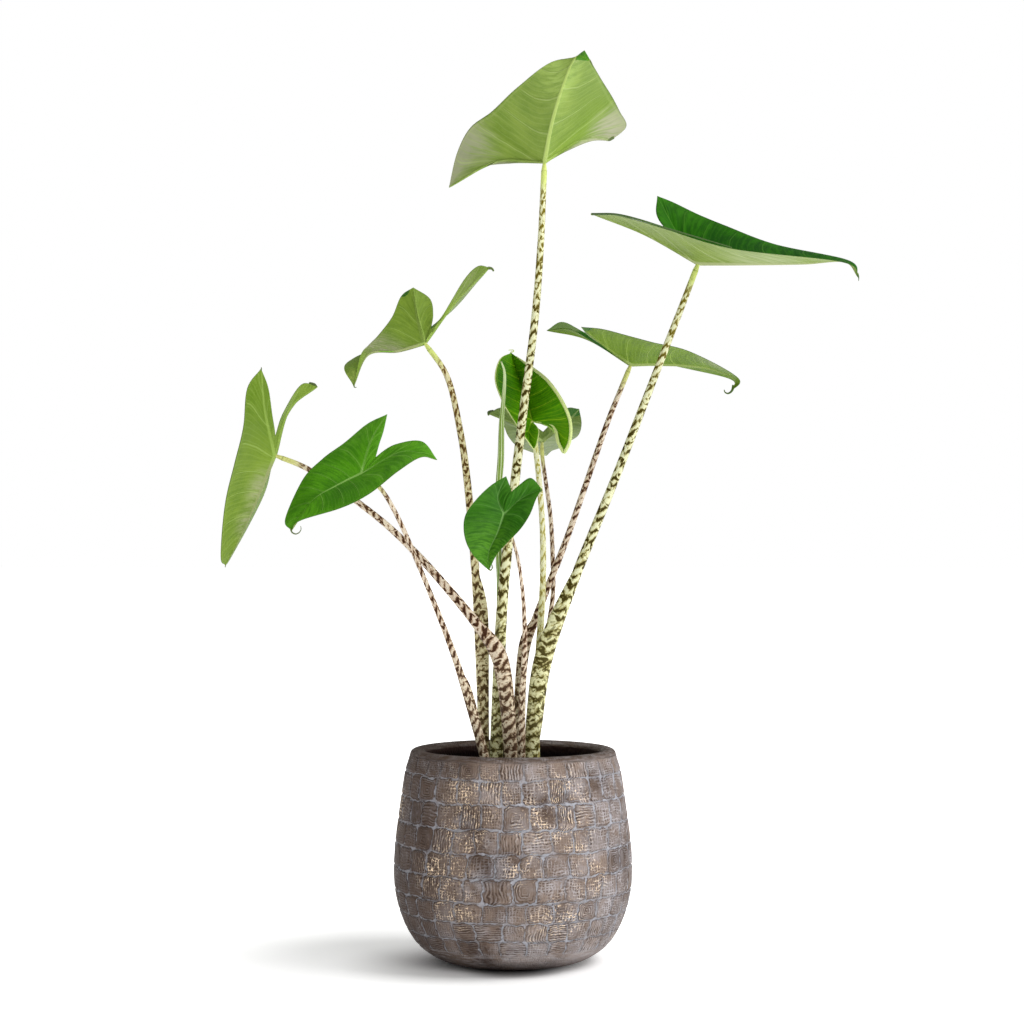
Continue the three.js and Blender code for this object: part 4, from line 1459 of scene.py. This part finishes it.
@dataclass
class Planting:
    """What fills the pot: the mix with its loose crumbs, and the corm under it."""

    stems: list[Stalk]
    crumbs: int = 1900
    radius: float = 96.0
    seed: int = 11
    sizes: Point2 = (0.9, 2.6)
    stretch: Point2 = (0.6, 1.2)
    sunk: float = 0.35
    clearance: float = 2.5
    raggedness: float = 0.28
    bed: tuple[Point2, ...] = ((0.0, 201.5), (60.0, 200.0), (87.0, 198.5), (99.0, 197.0))

    def crumb_patch(self) -> Patchwork:
        """Loose crumbs on the mix: small eight-faced lumps of drawn size, turn and place.

        They lie on the bed, whose height is given at some distances from the middle, in part sunk in it.

        Returns:
            The mesh in the making. Crumbs stay clear of the stalks.
        """
        draw = np.random.default_rng(self.seed)
        lump = np.stack([np.eye(3), -np.eye(3)], 1).reshape(6, 3)
        upper = np.array([[0, 2, 4], [2, 1, 4], [1, 3, 4], [3, 0, 4]])
        faces = np.concatenate([upper, upper[:, [1, 0, 2]] + [0, 0, 1]])
        reach = self.radius * np.sqrt(draw.uniform(0.0, 1.0, self.crumbs))
        turn = draw.uniform(0.0, 2.0 * np.pi, self.crumbs)
        place = np.stack([reach * np.cos(turn), reach * np.sin(turn)], -1)
        size = draw.uniform(*self.sizes, (self.crumbs, 1)) * draw.uniform(*self.stretch, (self.crumbs, 3))
        feet = np.array([stem.points[0][:2] for stem in self.stems])
        girth = np.array([stem.girth[1] for stem in self.stems])
        clear = np.linalg.norm(place[:, None] - feet, axis=-1) - girth - size.max(1)[:, None]
        keep = clear.min(1) > self.clearance
        place, size = place[keep], size[keep]
        shape = lump + draw.uniform(-self.raggedness, self.raggedness, (len(place), 6, 3))
        shape = shape * size[:, None]
        spin = draw.uniform(0.0, 2.0 * np.pi, len(place))
        cos, sin = np.cos(spin)[:, None], np.sin(spin)[:, None]
        x = shape[..., 0] * cos - shape[..., 1] * sin
        y = shape[..., 0] * sin + shape[..., 1] * cos
        top = np.interp(np.linalg.norm(place, axis=1), *np.transpose(self.bed))[:, None]
        height = shape[..., 2] + top + self.sunk * size[:, 2:]
        shape = np.stack([x + place[:, :1], y + place[:, 1:], height], -1)
        index = faces + 6 * np.arange(len(place))[:, None, None]
        work = Patchwork()
        work.add(shape.reshape(-1, 3), np.zeros((shape.size // 3, 4)), index.reshape(-1, 3))
        return work

    def build(self) -> None:
        """Dresses the mix and the corm, and lays the crumbs."""
        for name, material in (("soil", SoilFinish().material()), ("corm", CormFinish().material())):
            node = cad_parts[name]
            node.data.materials.clear()
            node.data.materials.append(material)
        crumbs = self.crumb_patch().build("soil_crumbs", [SoilFinish("soil_crumb").material()])
        dress(crumbs, "soil")


@dataclass(frozen=True)
class SoftLight:
    """One large soft light: where it hangs, what it faces, its width and height, and its watts."""

    name: str
    place: Point
    aim: Point
    size: Point2
    power: float

    def hang(self) -> None:
        """Makes the light."""
        lamp = bpy.data.lights.new(self.name, "AREA")
        lamp.shape, lamp.energy = "RECTANGLE", self.power
        lamp.size, lamp.size_y = self.size
        holder = bpy.data.objects.new(self.name, lamp)
        holder.location = self.place
        holder.rotation_euler = (Vector(self.aim) - Vector(self.place)).to_track_quat("-Z", "Y").to_euler()
        bpy.context.scene.collection.objects.link(holder)


@dataclass
class Studio:
    """The pale floor, whose sides are in millimetres, and the soft lights and the camera, in metres."""

    camera_place: Point = (-0.00105, -2.6, 0.47)
    lens: float = 87.06
    sensor: float = 36.0
    floor_x: Point2 = (-12000.0, 12000.0)
    floor_y: Point2 = (-6000.0, 18000.0)
    sky_light: float = 0.42
    lights: tuple[SoftLight, ...] = (
        SoftLight("key_light", (2.0, -0.4, 2.6), (0.0, 0.0, 0.3), (1.5, 1.5), 56.0),
        SoftLight("front_light", (1.5, -2.2, 1.5), (0.0, 0.0, 0.4), (1.6, 1.6), 26.0),
    )

    def sky(self, scene: bpy.types.Scene) -> None:
        """Sets the scene's background: white to look at, and softer as a light.

        Args:
            scene: The scene.
        """
        world = bpy.data.worlds.new("studio_world")
        world.use_nodes = True
        tree = world.node_tree
        tree.nodes.clear()
        rays, choice = tree.nodes.new("ShaderNodeLightPath"), tree.nodes.new("ShaderNodeMixShader")
        tree.links.new(rays.outputs["Is Camera Ray"], choice.inputs[0])
        for place, strength in ((1, self.sky_light), (2, 1.0)):
            background = tree.nodes.new("ShaderNodeBackground")
            background.inputs["Color"].default_value = (1.0, 1.0, 1.0, 1.0)
            background.inputs["Strength"].default_value = strength
            tree.links.new(background.outputs[0], choice.inputs[place])
        output = tree.nodes.new("ShaderNodeOutputWorld")
        tree.links.new(choice.outputs[0], output.inputs[0])
        scene.world = world

    def build(self) -> None:
        """Lays the floor, hangs the lights, sets the background and stands the camera."""
        scene = bpy.context.scene
        scene.view_settings.view_transform = "Standard"
        x, y = np.meshgrid(np.linspace(*self.floor_x, 9), np.linspace(*self.floor_y, 9))
        floor = Patchwork()
        floor.add_grid(joined(x, y, 0.0), np.zeros((*x.shape, 4)), flip=True)
        floor.build("studio_floor", [FloorFinish().material()])
        self.sky(scene)
        for light in self.lights:
            light.hang()
        lens = bpy.data.cameras.new("camera")
        lens.lens, lens.sensor_width, lens.clip_end = self.lens, self.sensor, 60.0
        camera = bpy.data.objects.new("camera", lens)
        camera.location = self.camera_place
        camera.rotation_euler = (math.pi / 2.0, 0.0, 0.0)
        scene.collection.objects.link(camera)
        scene.camera = camera


TURNED_GREEN = paint(36, 84, 18)
UNDER_PALE = BladeFinish(
    "under_pale", green=paint(126, 150, 58), shade=paint(104, 132, 40), vein=paint(164, 184, 110),
    rib=paint(168, 188, 104), rim=paint(74, 96, 34), dust_and_sheen=paint(168, 160, 150), dust_and_sheen_share=0.56,
    vein_share=0.42, veins=4.4, gloss=0.48, lobe_rib_share=0.1,
    patches=(
        Patch((0.034, -0.075, 0.908), 0.05, paint(152, 178, 84), 0.9, 0.9),
        Patch((0.085, 0.02, 0.895), 0.05, paint(104, 134, 40), 0.9, 0.6),
        Patch((0.094, 0.06, 0.878), 0.032, paint(160, 158, 136), 0.9, 0.7),
    ),
)
UNDER_SILVER = BladeFinish(
    "under_silver", green=paint(122, 142, 66), shade=paint(106, 128, 50), vein=paint(166, 180, 122),
    rib=paint(158, 166, 120), rim=paint(34, 76, 10), dust_and_sheen=paint(168, 170, 146), dust_and_sheen_share=0.5, gloss=0.48,
    dust_and_sheen_on_lobes=-0.1, lobe_rib_share=0.1,
    patches=(Patch((0.265, -0.02, 0.742), 0.06, paint(160, 170, 128), 0.9, 0.8),),
)
UNDER_DEEP = BladeFinish(
    "under_deep", green=paint(96, 124, 26), shade=paint(76, 104, 14), vein=paint(136, 160, 72),
    rib=paint(134, 150, 84), rim=paint(54, 80, 28), dust_and_sheen=paint(146, 148, 108), dust_and_sheen_share=0.3, gloss=0.48,
    dust_and_sheen_on_lobes=0.1, sheen=0.1,
    patches=(
        Patch((0.072, 0.012, 0.665), 0.012, TURNED_GREEN),
        Patch((0.225, 0.08, 0.63), 0.04, paint(134, 140, 104), 0.9, 0.8),
    ),
)
UNDER_OLIVE = BladeFinish(
    "under_olive", green=paint(112, 138, 42), shade=paint(92, 120, 30), vein=paint(142, 166, 82),
    rib=paint(140, 148, 98), rim=paint(70, 92, 34), dust_and_sheen=paint(166, 162, 142), dust_and_sheen_share=0.5, gloss=0.48,
    dust_and_sheen_on_lobes=-0.1, lobe_rib=paint(140, 166, 76), lobe_rib_share=0.6,
    patches=(
        Patch((-0.1205, 0.078, 0.7105), 0.009, TURNED_GREEN),
        Patch((-0.0465, 0.08, 0.71), 0.045, paint(114, 124, 82), 0.9, 0.9),
        Patch((-0.142, 0.01, 0.642), 0.045, paint(160, 156, 134), 0.9, 0.8),
        # Painted shade: darkens the upper part of the far left leaf, which faces the lamps.
        Patch((-0.275, -0.06, 0.588), 0.08, paint(84, 114, 12), 0.9, 0.9),
        Patch((-0.258, -0.02, 0.492), 0.034, paint(150, 152, 118), 0.9, 0.9),
        Patch((-0.270, -0.016, 0.458), 0.03, paint(150, 152, 118), 0.9, 0.9),
    ),
)
UNDER_GREY = BladeFinish(
    "under_grey", green=paint(94, 114, 48), shade=paint(74, 96, 34), vein=paint(136, 152, 88),
    rib=paint(158, 176, 110), rim=paint(74, 94, 50), dust_and_sheen=paint(166, 168, 150), dust_and_sheen_share=0.4, veins=5.0,
    dust_and_sheen_on_lobes=0.1,
    patches=(Patch((0.067, 0.092, 0.584), 0.012, TURNED_GREEN),),
)
UPPER_DARK = BladeFinish(
    "upper_dark", green=paint(38, 102, 0), shade=paint(16, 70, 0), vein=paint(84, 134, 44),
    rib=paint(96, 146, 56), rim=paint(18, 60, 2), dust_and_sheen=paint(60, 118, 24), dust_and_sheen_share=0.25, vein_share=0.26,
    gloss=0.5, rib_reach=1.4, sheen=0.05,
    patches=(Patch((0.052, 0.13, 0.676), 0.028, paint(118, 138, 84), 0.3),),
)
UPPER_MID = BladeFinish(
    "upper_mid", green=paint(80, 146, 14), shade=paint(52, 112, 2), vein=paint(124, 168, 76),
    rib=paint(132, 176, 88), rim=paint(40, 92, 14), dust_and_sheen=paint(88, 146, 40), dust_and_sheen_share=0.25, vein_share=0.38,
    gloss=0.5, rib_reach=1.4, sheen=0.1,
    patches=(Patch((-0.165, -0.1, 0.482), 0.04, paint(38, 92, 8), 0.9, 0.7),),
)
UPPER_DEEP = BladeFinish(
    "upper_deep", green=paint(48, 106, 8), shade=paint(28, 80, 0), vein=paint(96, 142, 66),
    rib=paint(112, 156, 82), rim=paint(30, 76, 8), dust_and_sheen=paint(70, 124, 34), dust_and_sheen_share=0.25, vein_share=0.34,
    veins=4.4, gloss=0.46, rib_reach=1.2, sheen=0.1,
    patches=(Patch((-0.025, -0.145, 0.43), 0.05, paint(80, 134, 30), 0.9, 0.8),),
)
UPPER_FRESH = BladeFinish(
    "upper_fresh", green=paint(70, 132, 4), shade=paint(44, 108, 0), vein=paint(120, 166, 56),
    rib=paint(110, 162, 44), rim=paint(170, 190, 60), dust_and_sheen=paint(110, 160, 40), dust_and_sheen_share=0.4, veins=4.4,
    gloss=0.46, rib_reach=1.4, sheen=0.12,
    patches=(
        Patch((-0.162, -0.02, 0.622), 0.04, paint(112, 142, 44), 0.4),
        Patch((-0.166, -0.02, 0.604), 0.022, paint(176, 196, 96), 0.9, 0.9),
    ),
)
UPPER_YOUNG = BladeFinish(
    "upper_young", green=paint(76, 138, 0), shade=paint(38, 100, 0), vein=paint(146, 188, 34),
    rib=paint(146, 184, 44), rim=paint(214, 226, 140), dust_and_sheen=paint(96, 150, 4), dust_and_sheen_share=0.4, vein_share=0.7,
    veins=5.0, gloss=0.42, rib_reach=1.2, sheen=0.08,
    patches=(Patch((0.045, 0.012, 0.556), 0.03, paint(56, 102, 0), 0.8, 0.8),),
)
UNDER_YOUNG = BladeFinish(
    "under_young", green=paint(122, 170, 52), shade=paint(98, 150, 32), vein=paint(176, 206, 100),
    rib=paint(196, 214, 120), rim=paint(206, 216, 146), dust_and_sheen=paint(160, 190, 110), veins=5.0,
)
STALK_CREAM = StalkFinish(
    "stalk_cream", skin=paint(192, 185, 142), low=paint(246, 238, 200), band=paint(58, 36, 0),
    halo=paint(140, 108, 46), fleck=paint(48, 38, 10), pitch=11.0, spread=0.55, mottle_top=290.0,
    mottle_share=0.43, mottle_grain=0.7, freshness=0.3,
)
STALK_GREEN = StalkFinish("stalk_green")
STALK_PINK = StalkFinish(
    "stalk_pink", skin=paint(198, 183, 166), low=paint(238, 228, 196), top=paint(196, 198, 122),
    band=paint(54, 26, 4), halo=paint(138, 98, 58), fleck=paint(48, 38, 10), pitch=10.5, spread=0.54,
    mottle_top=170.0, mottle_share=0.43, mottle_grain=0.7, freshness=0.15,
)
STALK_YOUNG = StalkFinish(
    "stalk_young", skin=paint(210, 210, 178), low=paint(222, 221, 180), top=paint(206, 214, 130),
    band=paint(112, 88, 14), halo=paint(176, 170, 58), fleck=paint(126, 98, 22), boldness=0.85, spread=0.34,
    mottle_top=300.0, mottle_share=0.43, mottle_grain=0.5,
)

LEAVES = [
    Leaf("top", "blade_pale", (33, 0, 836), (33, 0, 836),
         [(40, -38, 871), (51, -80, 904), (63, -116, 926), (77, -132, 920)],
         Half((105, 62, 869), [(122, 66, 885), (115, 62, 900), (105, 42, 914), (93, -6, 923), (73, -95, 936)],
              (75, 38, 868), [(84, 44, 866), (58, 18, 852)]),
         Half((-69, 65, 819), [(-60, 66, 857), (-46, 56, 882), (-22, 38, 897), (5, -6, 915), (41, -78, 929)],
              (-17, 43, 844), [(-35, 56, 839), (-1, 28, 840)]),
         [(-18, -2, 200), (-12, -2, 362), (-6, -1, 430), (9, -1, 561), (23, -1, 673), (29, 0, 750)],
         [7.2, 7.3, 5.9, 5.3, 4.6, 4.0, 3.5, 3.0], UPPER_FRESH, UNDER_PALE, STALK_GREEN, None,
         [Curl([(76, -132, 921), (78.5, -131, 917), (80.5, -129, 913)]),
          Curl([(96.5, 60, 872.5), (103, 61, 870.3), (108.5, 61, 872.5)], (2.4, 1.4))]),
    Leaf("upper_right", "blade_pale", (196, 20, 733), (196, 20, 733),
         [(243, -8, 730), (300, -43, 727), (339, -69, 726), (352, -76, 709)],
         Half((158, 112, 816), [(181, 114, 807), (206, 100, 793), (230, 76, 779), (277, 30, 755),
              (344, -56, 729)],
              (177, 72, 771), [(156, 82, 791), (170, 54, 766)]),
         Half((84, 12, 784), [(108, -18, 779), (131, -38, 771), (156, -47, 762), (223, -74, 739),
              (335, -80, 724)],
              (140, 14, 763), [(127, 34, 773), (160, 30, 756)]),
         [(17.5, 0, 200), (23, 1, 250), (34, 3, 314), (67, 6, 405), (110, 10, 511), (134, 13, 573),
          (181, 18, 694)],
         [6.0, 6.4, 8.2, 7.4, 5.2, 4.5, 4.2, 3.3, 3.0], UPPER_DARK, UNDER_SILVER, STALK_GREEN,
         Sheath(175.0, 0.14, 0.5, 5.0),
         [Curl([(351, -77, 713.5), (352.3, -76, 709.5), (352.4, -75, 705.6)]),
          Curl([(83, 12, 784.2), (108, -18, 780.2), (131, -38, 772.3), (156, -47, 763.3), (190, -62, 751.2),
                (223, -74, 739.8)], (1.3, 0.6))]),
    Leaf("mid_right", "blade_pale", (128, 90, 630), (128, 90, 630),
         [(160, 102, 631), (211, 122, 629), (244, 130, 617), (241, 134, 603)],
         Half((37, 116, 669), [(54, 132, 679), (78, 142, 669), (110, 146, 654), (159, 150, 637),
              (239, 140, 618)],
              (82, 108, 659), [(62, 96, 669), (97, 90, 648)]),
         Half((72, 12, 665), [(93, 12, 663), (119, 20, 657), (148, 36, 651), (191, 70, 643), (247, 118, 617)],
              (97, 52, 649), [(82, 44, 657), (107, 68, 643)]),
         [(3, 16, 200), (12.5, 30, 321), (23.5, 36, 355), (57, 51, 440), (103, 77, 569), (116, 84, 601)],
         [5.2, 5.2, 5.0, 4.2, 3.3, 2.9, 2.7, 2.6], UPPER_DARK, UNDER_DEEP, STALK_PINK,
         Sheath(170.0, 0.14, 0.42, 3.5),
         [Curl([(243.5, 133, 610), (241.8, 134, 604), (237.5, 134, 600.9), (234, 133, 602.2),
                (233, 132, 604.8)], (1.7, 0.5))]),
    Leaf("upper_left", "blade_pale", (-94, 40, 650), (-88, 50, 665),
         [(-121, 14, 640), (-151, -18, 634), (-165, -36, 600)],
         Half((-108, 80, 713), [(-121, 76, 703), (-130, 58, 679), (-143, 30, 658), (-152, 2, 645),
              (-159, -24, 632)],
              (-103, 62, 681), [(-90, 82, 701), (-86, 68, 683)]),
         Half((-25, 84, 735), [(-38, 100, 721), (-66, 112, 691), (-104, 110, 663), (-137, 76, 648),
              (-176, 10, 626)],
              (-63, 70, 695), [(-38, 80, 736), (-53, 72, 720), (-74, 62, 684)]),
         [(-30, 12, 200), (-36, 19, 344), (-41, 24, 422), (-50, 30, 515), (-56, 33, 555), (-71, 37, 616)],
         [5.4, 5.4, 5.0, 4.3, 3.8, 3.5, 3.0, 2.7], UPPER_FRESH, UNDER_OLIVE, STALK_CREAM,
         Sheath(10.0, 0.12, 0.39, 6.0),
         [Curl([(-164.8, -36, 602), (-164.1, -35, 599.1), (-162.1, -34, 599.3)]),
          Curl([(-27, 84, 734.5), (-23, 84, 733.8), (-20.8, 84, 731)], (1.8, 0.9))]),
    Leaf("far_left", "blade_pale", (-248, -20, 529), (-248, -18, 549),
         [(-261, -24, 496), (-279, -20, 455), (-301, -8, 414)],
         Half((-260, -44, 618), [(-272, -62, 597), (-275, -74, 558), (-285, -70, 520), (-296, -54, 477),
              (-304, -24, 424)],
              (-257, -36, 574), [(-253, -38, 598), (-250, -28, 570)]),
         Half((-207, 26, 603), [(-225, 48, 594), (-245, 58, 567), (-257, 52, 525), (-267, 42, 487),
              (-296, 6, 424)],
              (-236, 12, 578), [(-223, 10, 604), (-241, -4, 574)]),
         [(-1, -15, 200), (-10, -19, 299), (-18.5, -20, 326), (-43, -19, 360), (-108, -18, 434),
          (-147, -19, 469), (-214, -20, 515)],
         [5.8, 6.6, 8.0, 7.6, 5.2, 3.6, 3.2, 2.8, 2.5], UPPER_DARK, UNDER_OLIVE, STALK_PINK,
         Sheath(0.0, 0.12, 0.46, 2.0),
         [Curl([(-300.5, -7, 417.6), (-301, -7, 414.5), (-301.5, -6, 412)]),
          Curl([(-260.3, -44, 615.5), (-259.7, -44, 617.8), (-260, -43, 619.5)]),
          Curl([(-216, 27, 605), (-211, 26, 604.6), (-208.4, 25, 602.2)], (3.0, 1.5))]),
    Leaf("left", "blade_dark", (-154, -80, 509), (-140, -74, 526),
         [(-176, -88, 498), (-202, -96, 482), (-224, -98, 451)],
         Half((-77, -84, 523), [(-93, -102, 525), (-115, -116, 511), (-143, -122, 489), (-173, -120, 474),
              (-215, -108, 461)],
              (-112, -84, 531), [(-93, -76, 542), (-120, -72, 539)]),
         Half((-130, -40, 571), [(-152, -40, 560), (-175, -46, 540), (-196, -54, 524), (-215, -66, 504),
              (-231, -86, 463)],
              (-145, -62, 544), [(-133, -56, 553), (-137, -66, 539)]),
         [(-25.5, -21, 200), (-49, -32, 284), (-61, -39, 322), (-95, -57, 411), (-121, -71, 471),
          (-136, -77, 495)],
         [4.9, 4.9, 4.2, 3.4, 2.5, 2.3, 2.2, 2.1], UPPER_MID, UNDER_PALE, STALK_PINK,
         Sheath(15.0, 0.14, 0.34, 2.5),
         [Curl([(-224.8, -98, 453.3), (-223.2, -99, 449.5), (-219.6, -100, 447.8), (-216, -101, 449.2),
                (-214, -101, 452.3), (-214.4, -100, 455.9)])]),
    Leaf("front", "blade_dark", (-9, -130, 468), (-2, -122, 490),
         [(-15, -137, 450), (-24, -144, 430), (-24, -146, 412)],
         Half((29, -116, 493), [(23, -130, 483), (17, -142, 468), (8, -149, 454), (-4, -152, 441),
              (-16, -151, 428)],
              (8, -120, 483), [(18, -112, 504), (6, -116, 497)]),
         Half((-7, -110, 506), [(-23, -118, 496), (-38, -130, 481), (-48, -142, 465), (-48, -150, 446),
              (-40, -151, 428)],
              (-15, -120, 485), [(-4, -113, 498), (-2, -118, 493)]),
         [(9, -29, 200), (9, -42, 261), (12, -72, 339), (10, -92, 386), (5, -108, 422), (-1, -119, 444)],
         [4.1, 4.1, 3.9, 2.6, 2.0, 1.6, 1.5, 1.5], UPPER_DEEP, UNDER_PALE, STALK_PINK, None,
         [Curl([(27.5, -117, 493.5), (28.6, -117, 492), (27.4, -117, 489.8)], (1.1, 0.8)),
          Curl([(-24, -146, 413.5), (-22.2, -147, 412.3), (-20.6, -148, 414.2), (-20.8, -148, 417.1),
                (-22, -147, 419.1)])],
         steps=(80, 16)),
    Leaf("young", "blade_young", (20, 38, 567), (20, 38, 567),
         [(15, 58, 590), (6, 78, 616), (-2, 90, 643)],
         Half((22, 20, 536), [(12, 16, 550), (0, 16, 568), (-12, 20, 589), (-19, 36, 612), (-14, 64, 634)],
              (16, 30, 552), [(25, 20, 542), (27, 28, 557)]),
         Half((54, 14, 532), [(60, 10, 546), (60, 8, 566), (51, 12, 588), (36, 28, 610), (17, 60, 627)],
              (42, 28, 558), [(48, 18, 543), (42, 26, 562)]),
         [(25, 20, 200), (25, 23, 281), (31, 27, 378), (32, 30, 421), (31, 32, 461), (25, 36, 531)],
         [3.6, 3.6, 3.6, 3.5, 3.2, 3.0, 3.0, 2.8], UPPER_YOUNG, UNDER_YOUNG, STALK_YOUNG, None,
         [Curl([(-2, 91, 640.6), (-2.3, 92, 643.5), (0.7, 92, 644.4), (0.2, 93, 646),
                (-4.8, 93, 646)], (0.8, 0.4))],
         beads=(0.6, 1.8), steps=(90, 18)),
    Leaf("back", "blade_pale", (32, 120, 547), (33, 114, 558),
         [(32, 150, 542), (35, 184, 537), (38, 214, 534)],
         Half((-27, 92, 577), [(-13, 108, 571), (-6, 134, 555), (3, 164, 545), (15, 190, 540),
              (27, 208, 536)],
              (1, 104, 566), [(-10, 84, 583), (14, 98, 570)]),
         Half((72, 92, 582), [(75, 106, 566), (72, 134, 554), (63, 164, 548), (53, 190, 543), (44, 206, 539)],
              (55, 104, 565), [(58, 88, 582), (41, 102, 566)]),
         [(13, 33, 200), (27, 48, 290), (43, 71, 380), (43, 82, 420), (41, 94, 463), (32, 115, 533)],
         [2.7, 2.7, 2.7, 2.5, 2.4, 2.3, 2.2, 2.2], UPPER_DARK, UNDER_GREY, STALK_PINK, None,
         [Curl([(-21, 92, 579.5), (-26.5, 92, 578.5), (-26.5, 91, 575)], (1.8, 1.0))],
         steps=(90, 18)),
]

SPEAR = Spear(
    [(-17, 13, 200), (-16, 13, 282), (-14, 9, 388), (-15, 6, 425), (-15, 4, 498), (-13, 5, 525),
     (-12, 6, 562), (-9, 11, 618), (-12.5, 14, 629)],
    [3.0, 3.0, 3.0, 3.1, 3.2, 3.4, 3.5, 2.9, 1.3, 0.7],
)

POT = Pot(
    profile=[(60, 0), (75, 3), (88, 9.5), (101, 20), (112, 37), (119.5, 56), (124, 77), (125, 102),
             (123.5, 126), (120.5, 150), (117, 175), (113, 200), (109.4, 212), (107.9, 217.5)],
    rows=[20, 37, 56, 77, 102, 126, 150, 175, 200, 217.5],
    lip=[(107.9, 217.5), (106.6, 220), (104, 221.6), (101, 222), (97.5, 221.6)],
    inner=[(93.6, 218.5), (93, 216), (94.5, 210), (99.5, 200), (109, 146), (111.5, 102), (105, 56),
           (84, 22), (70, 14)],
)


def main() -> None:
    """Builds the studio, the pot, the planting and the plant, in that order."""
    logging.basicConfig(level=logging.INFO, format="%(message)s")
    Studio().build()
    POT.build()
    Planting([*(leaf.stem() for leaf in LEAVES), Stalk(SPEAR.points, SPEAR.girth)]).build()
    for leaf in LEAVES:
        leaf.build()
    SPEAR.build()


if __name__ == "__main__":
    main()
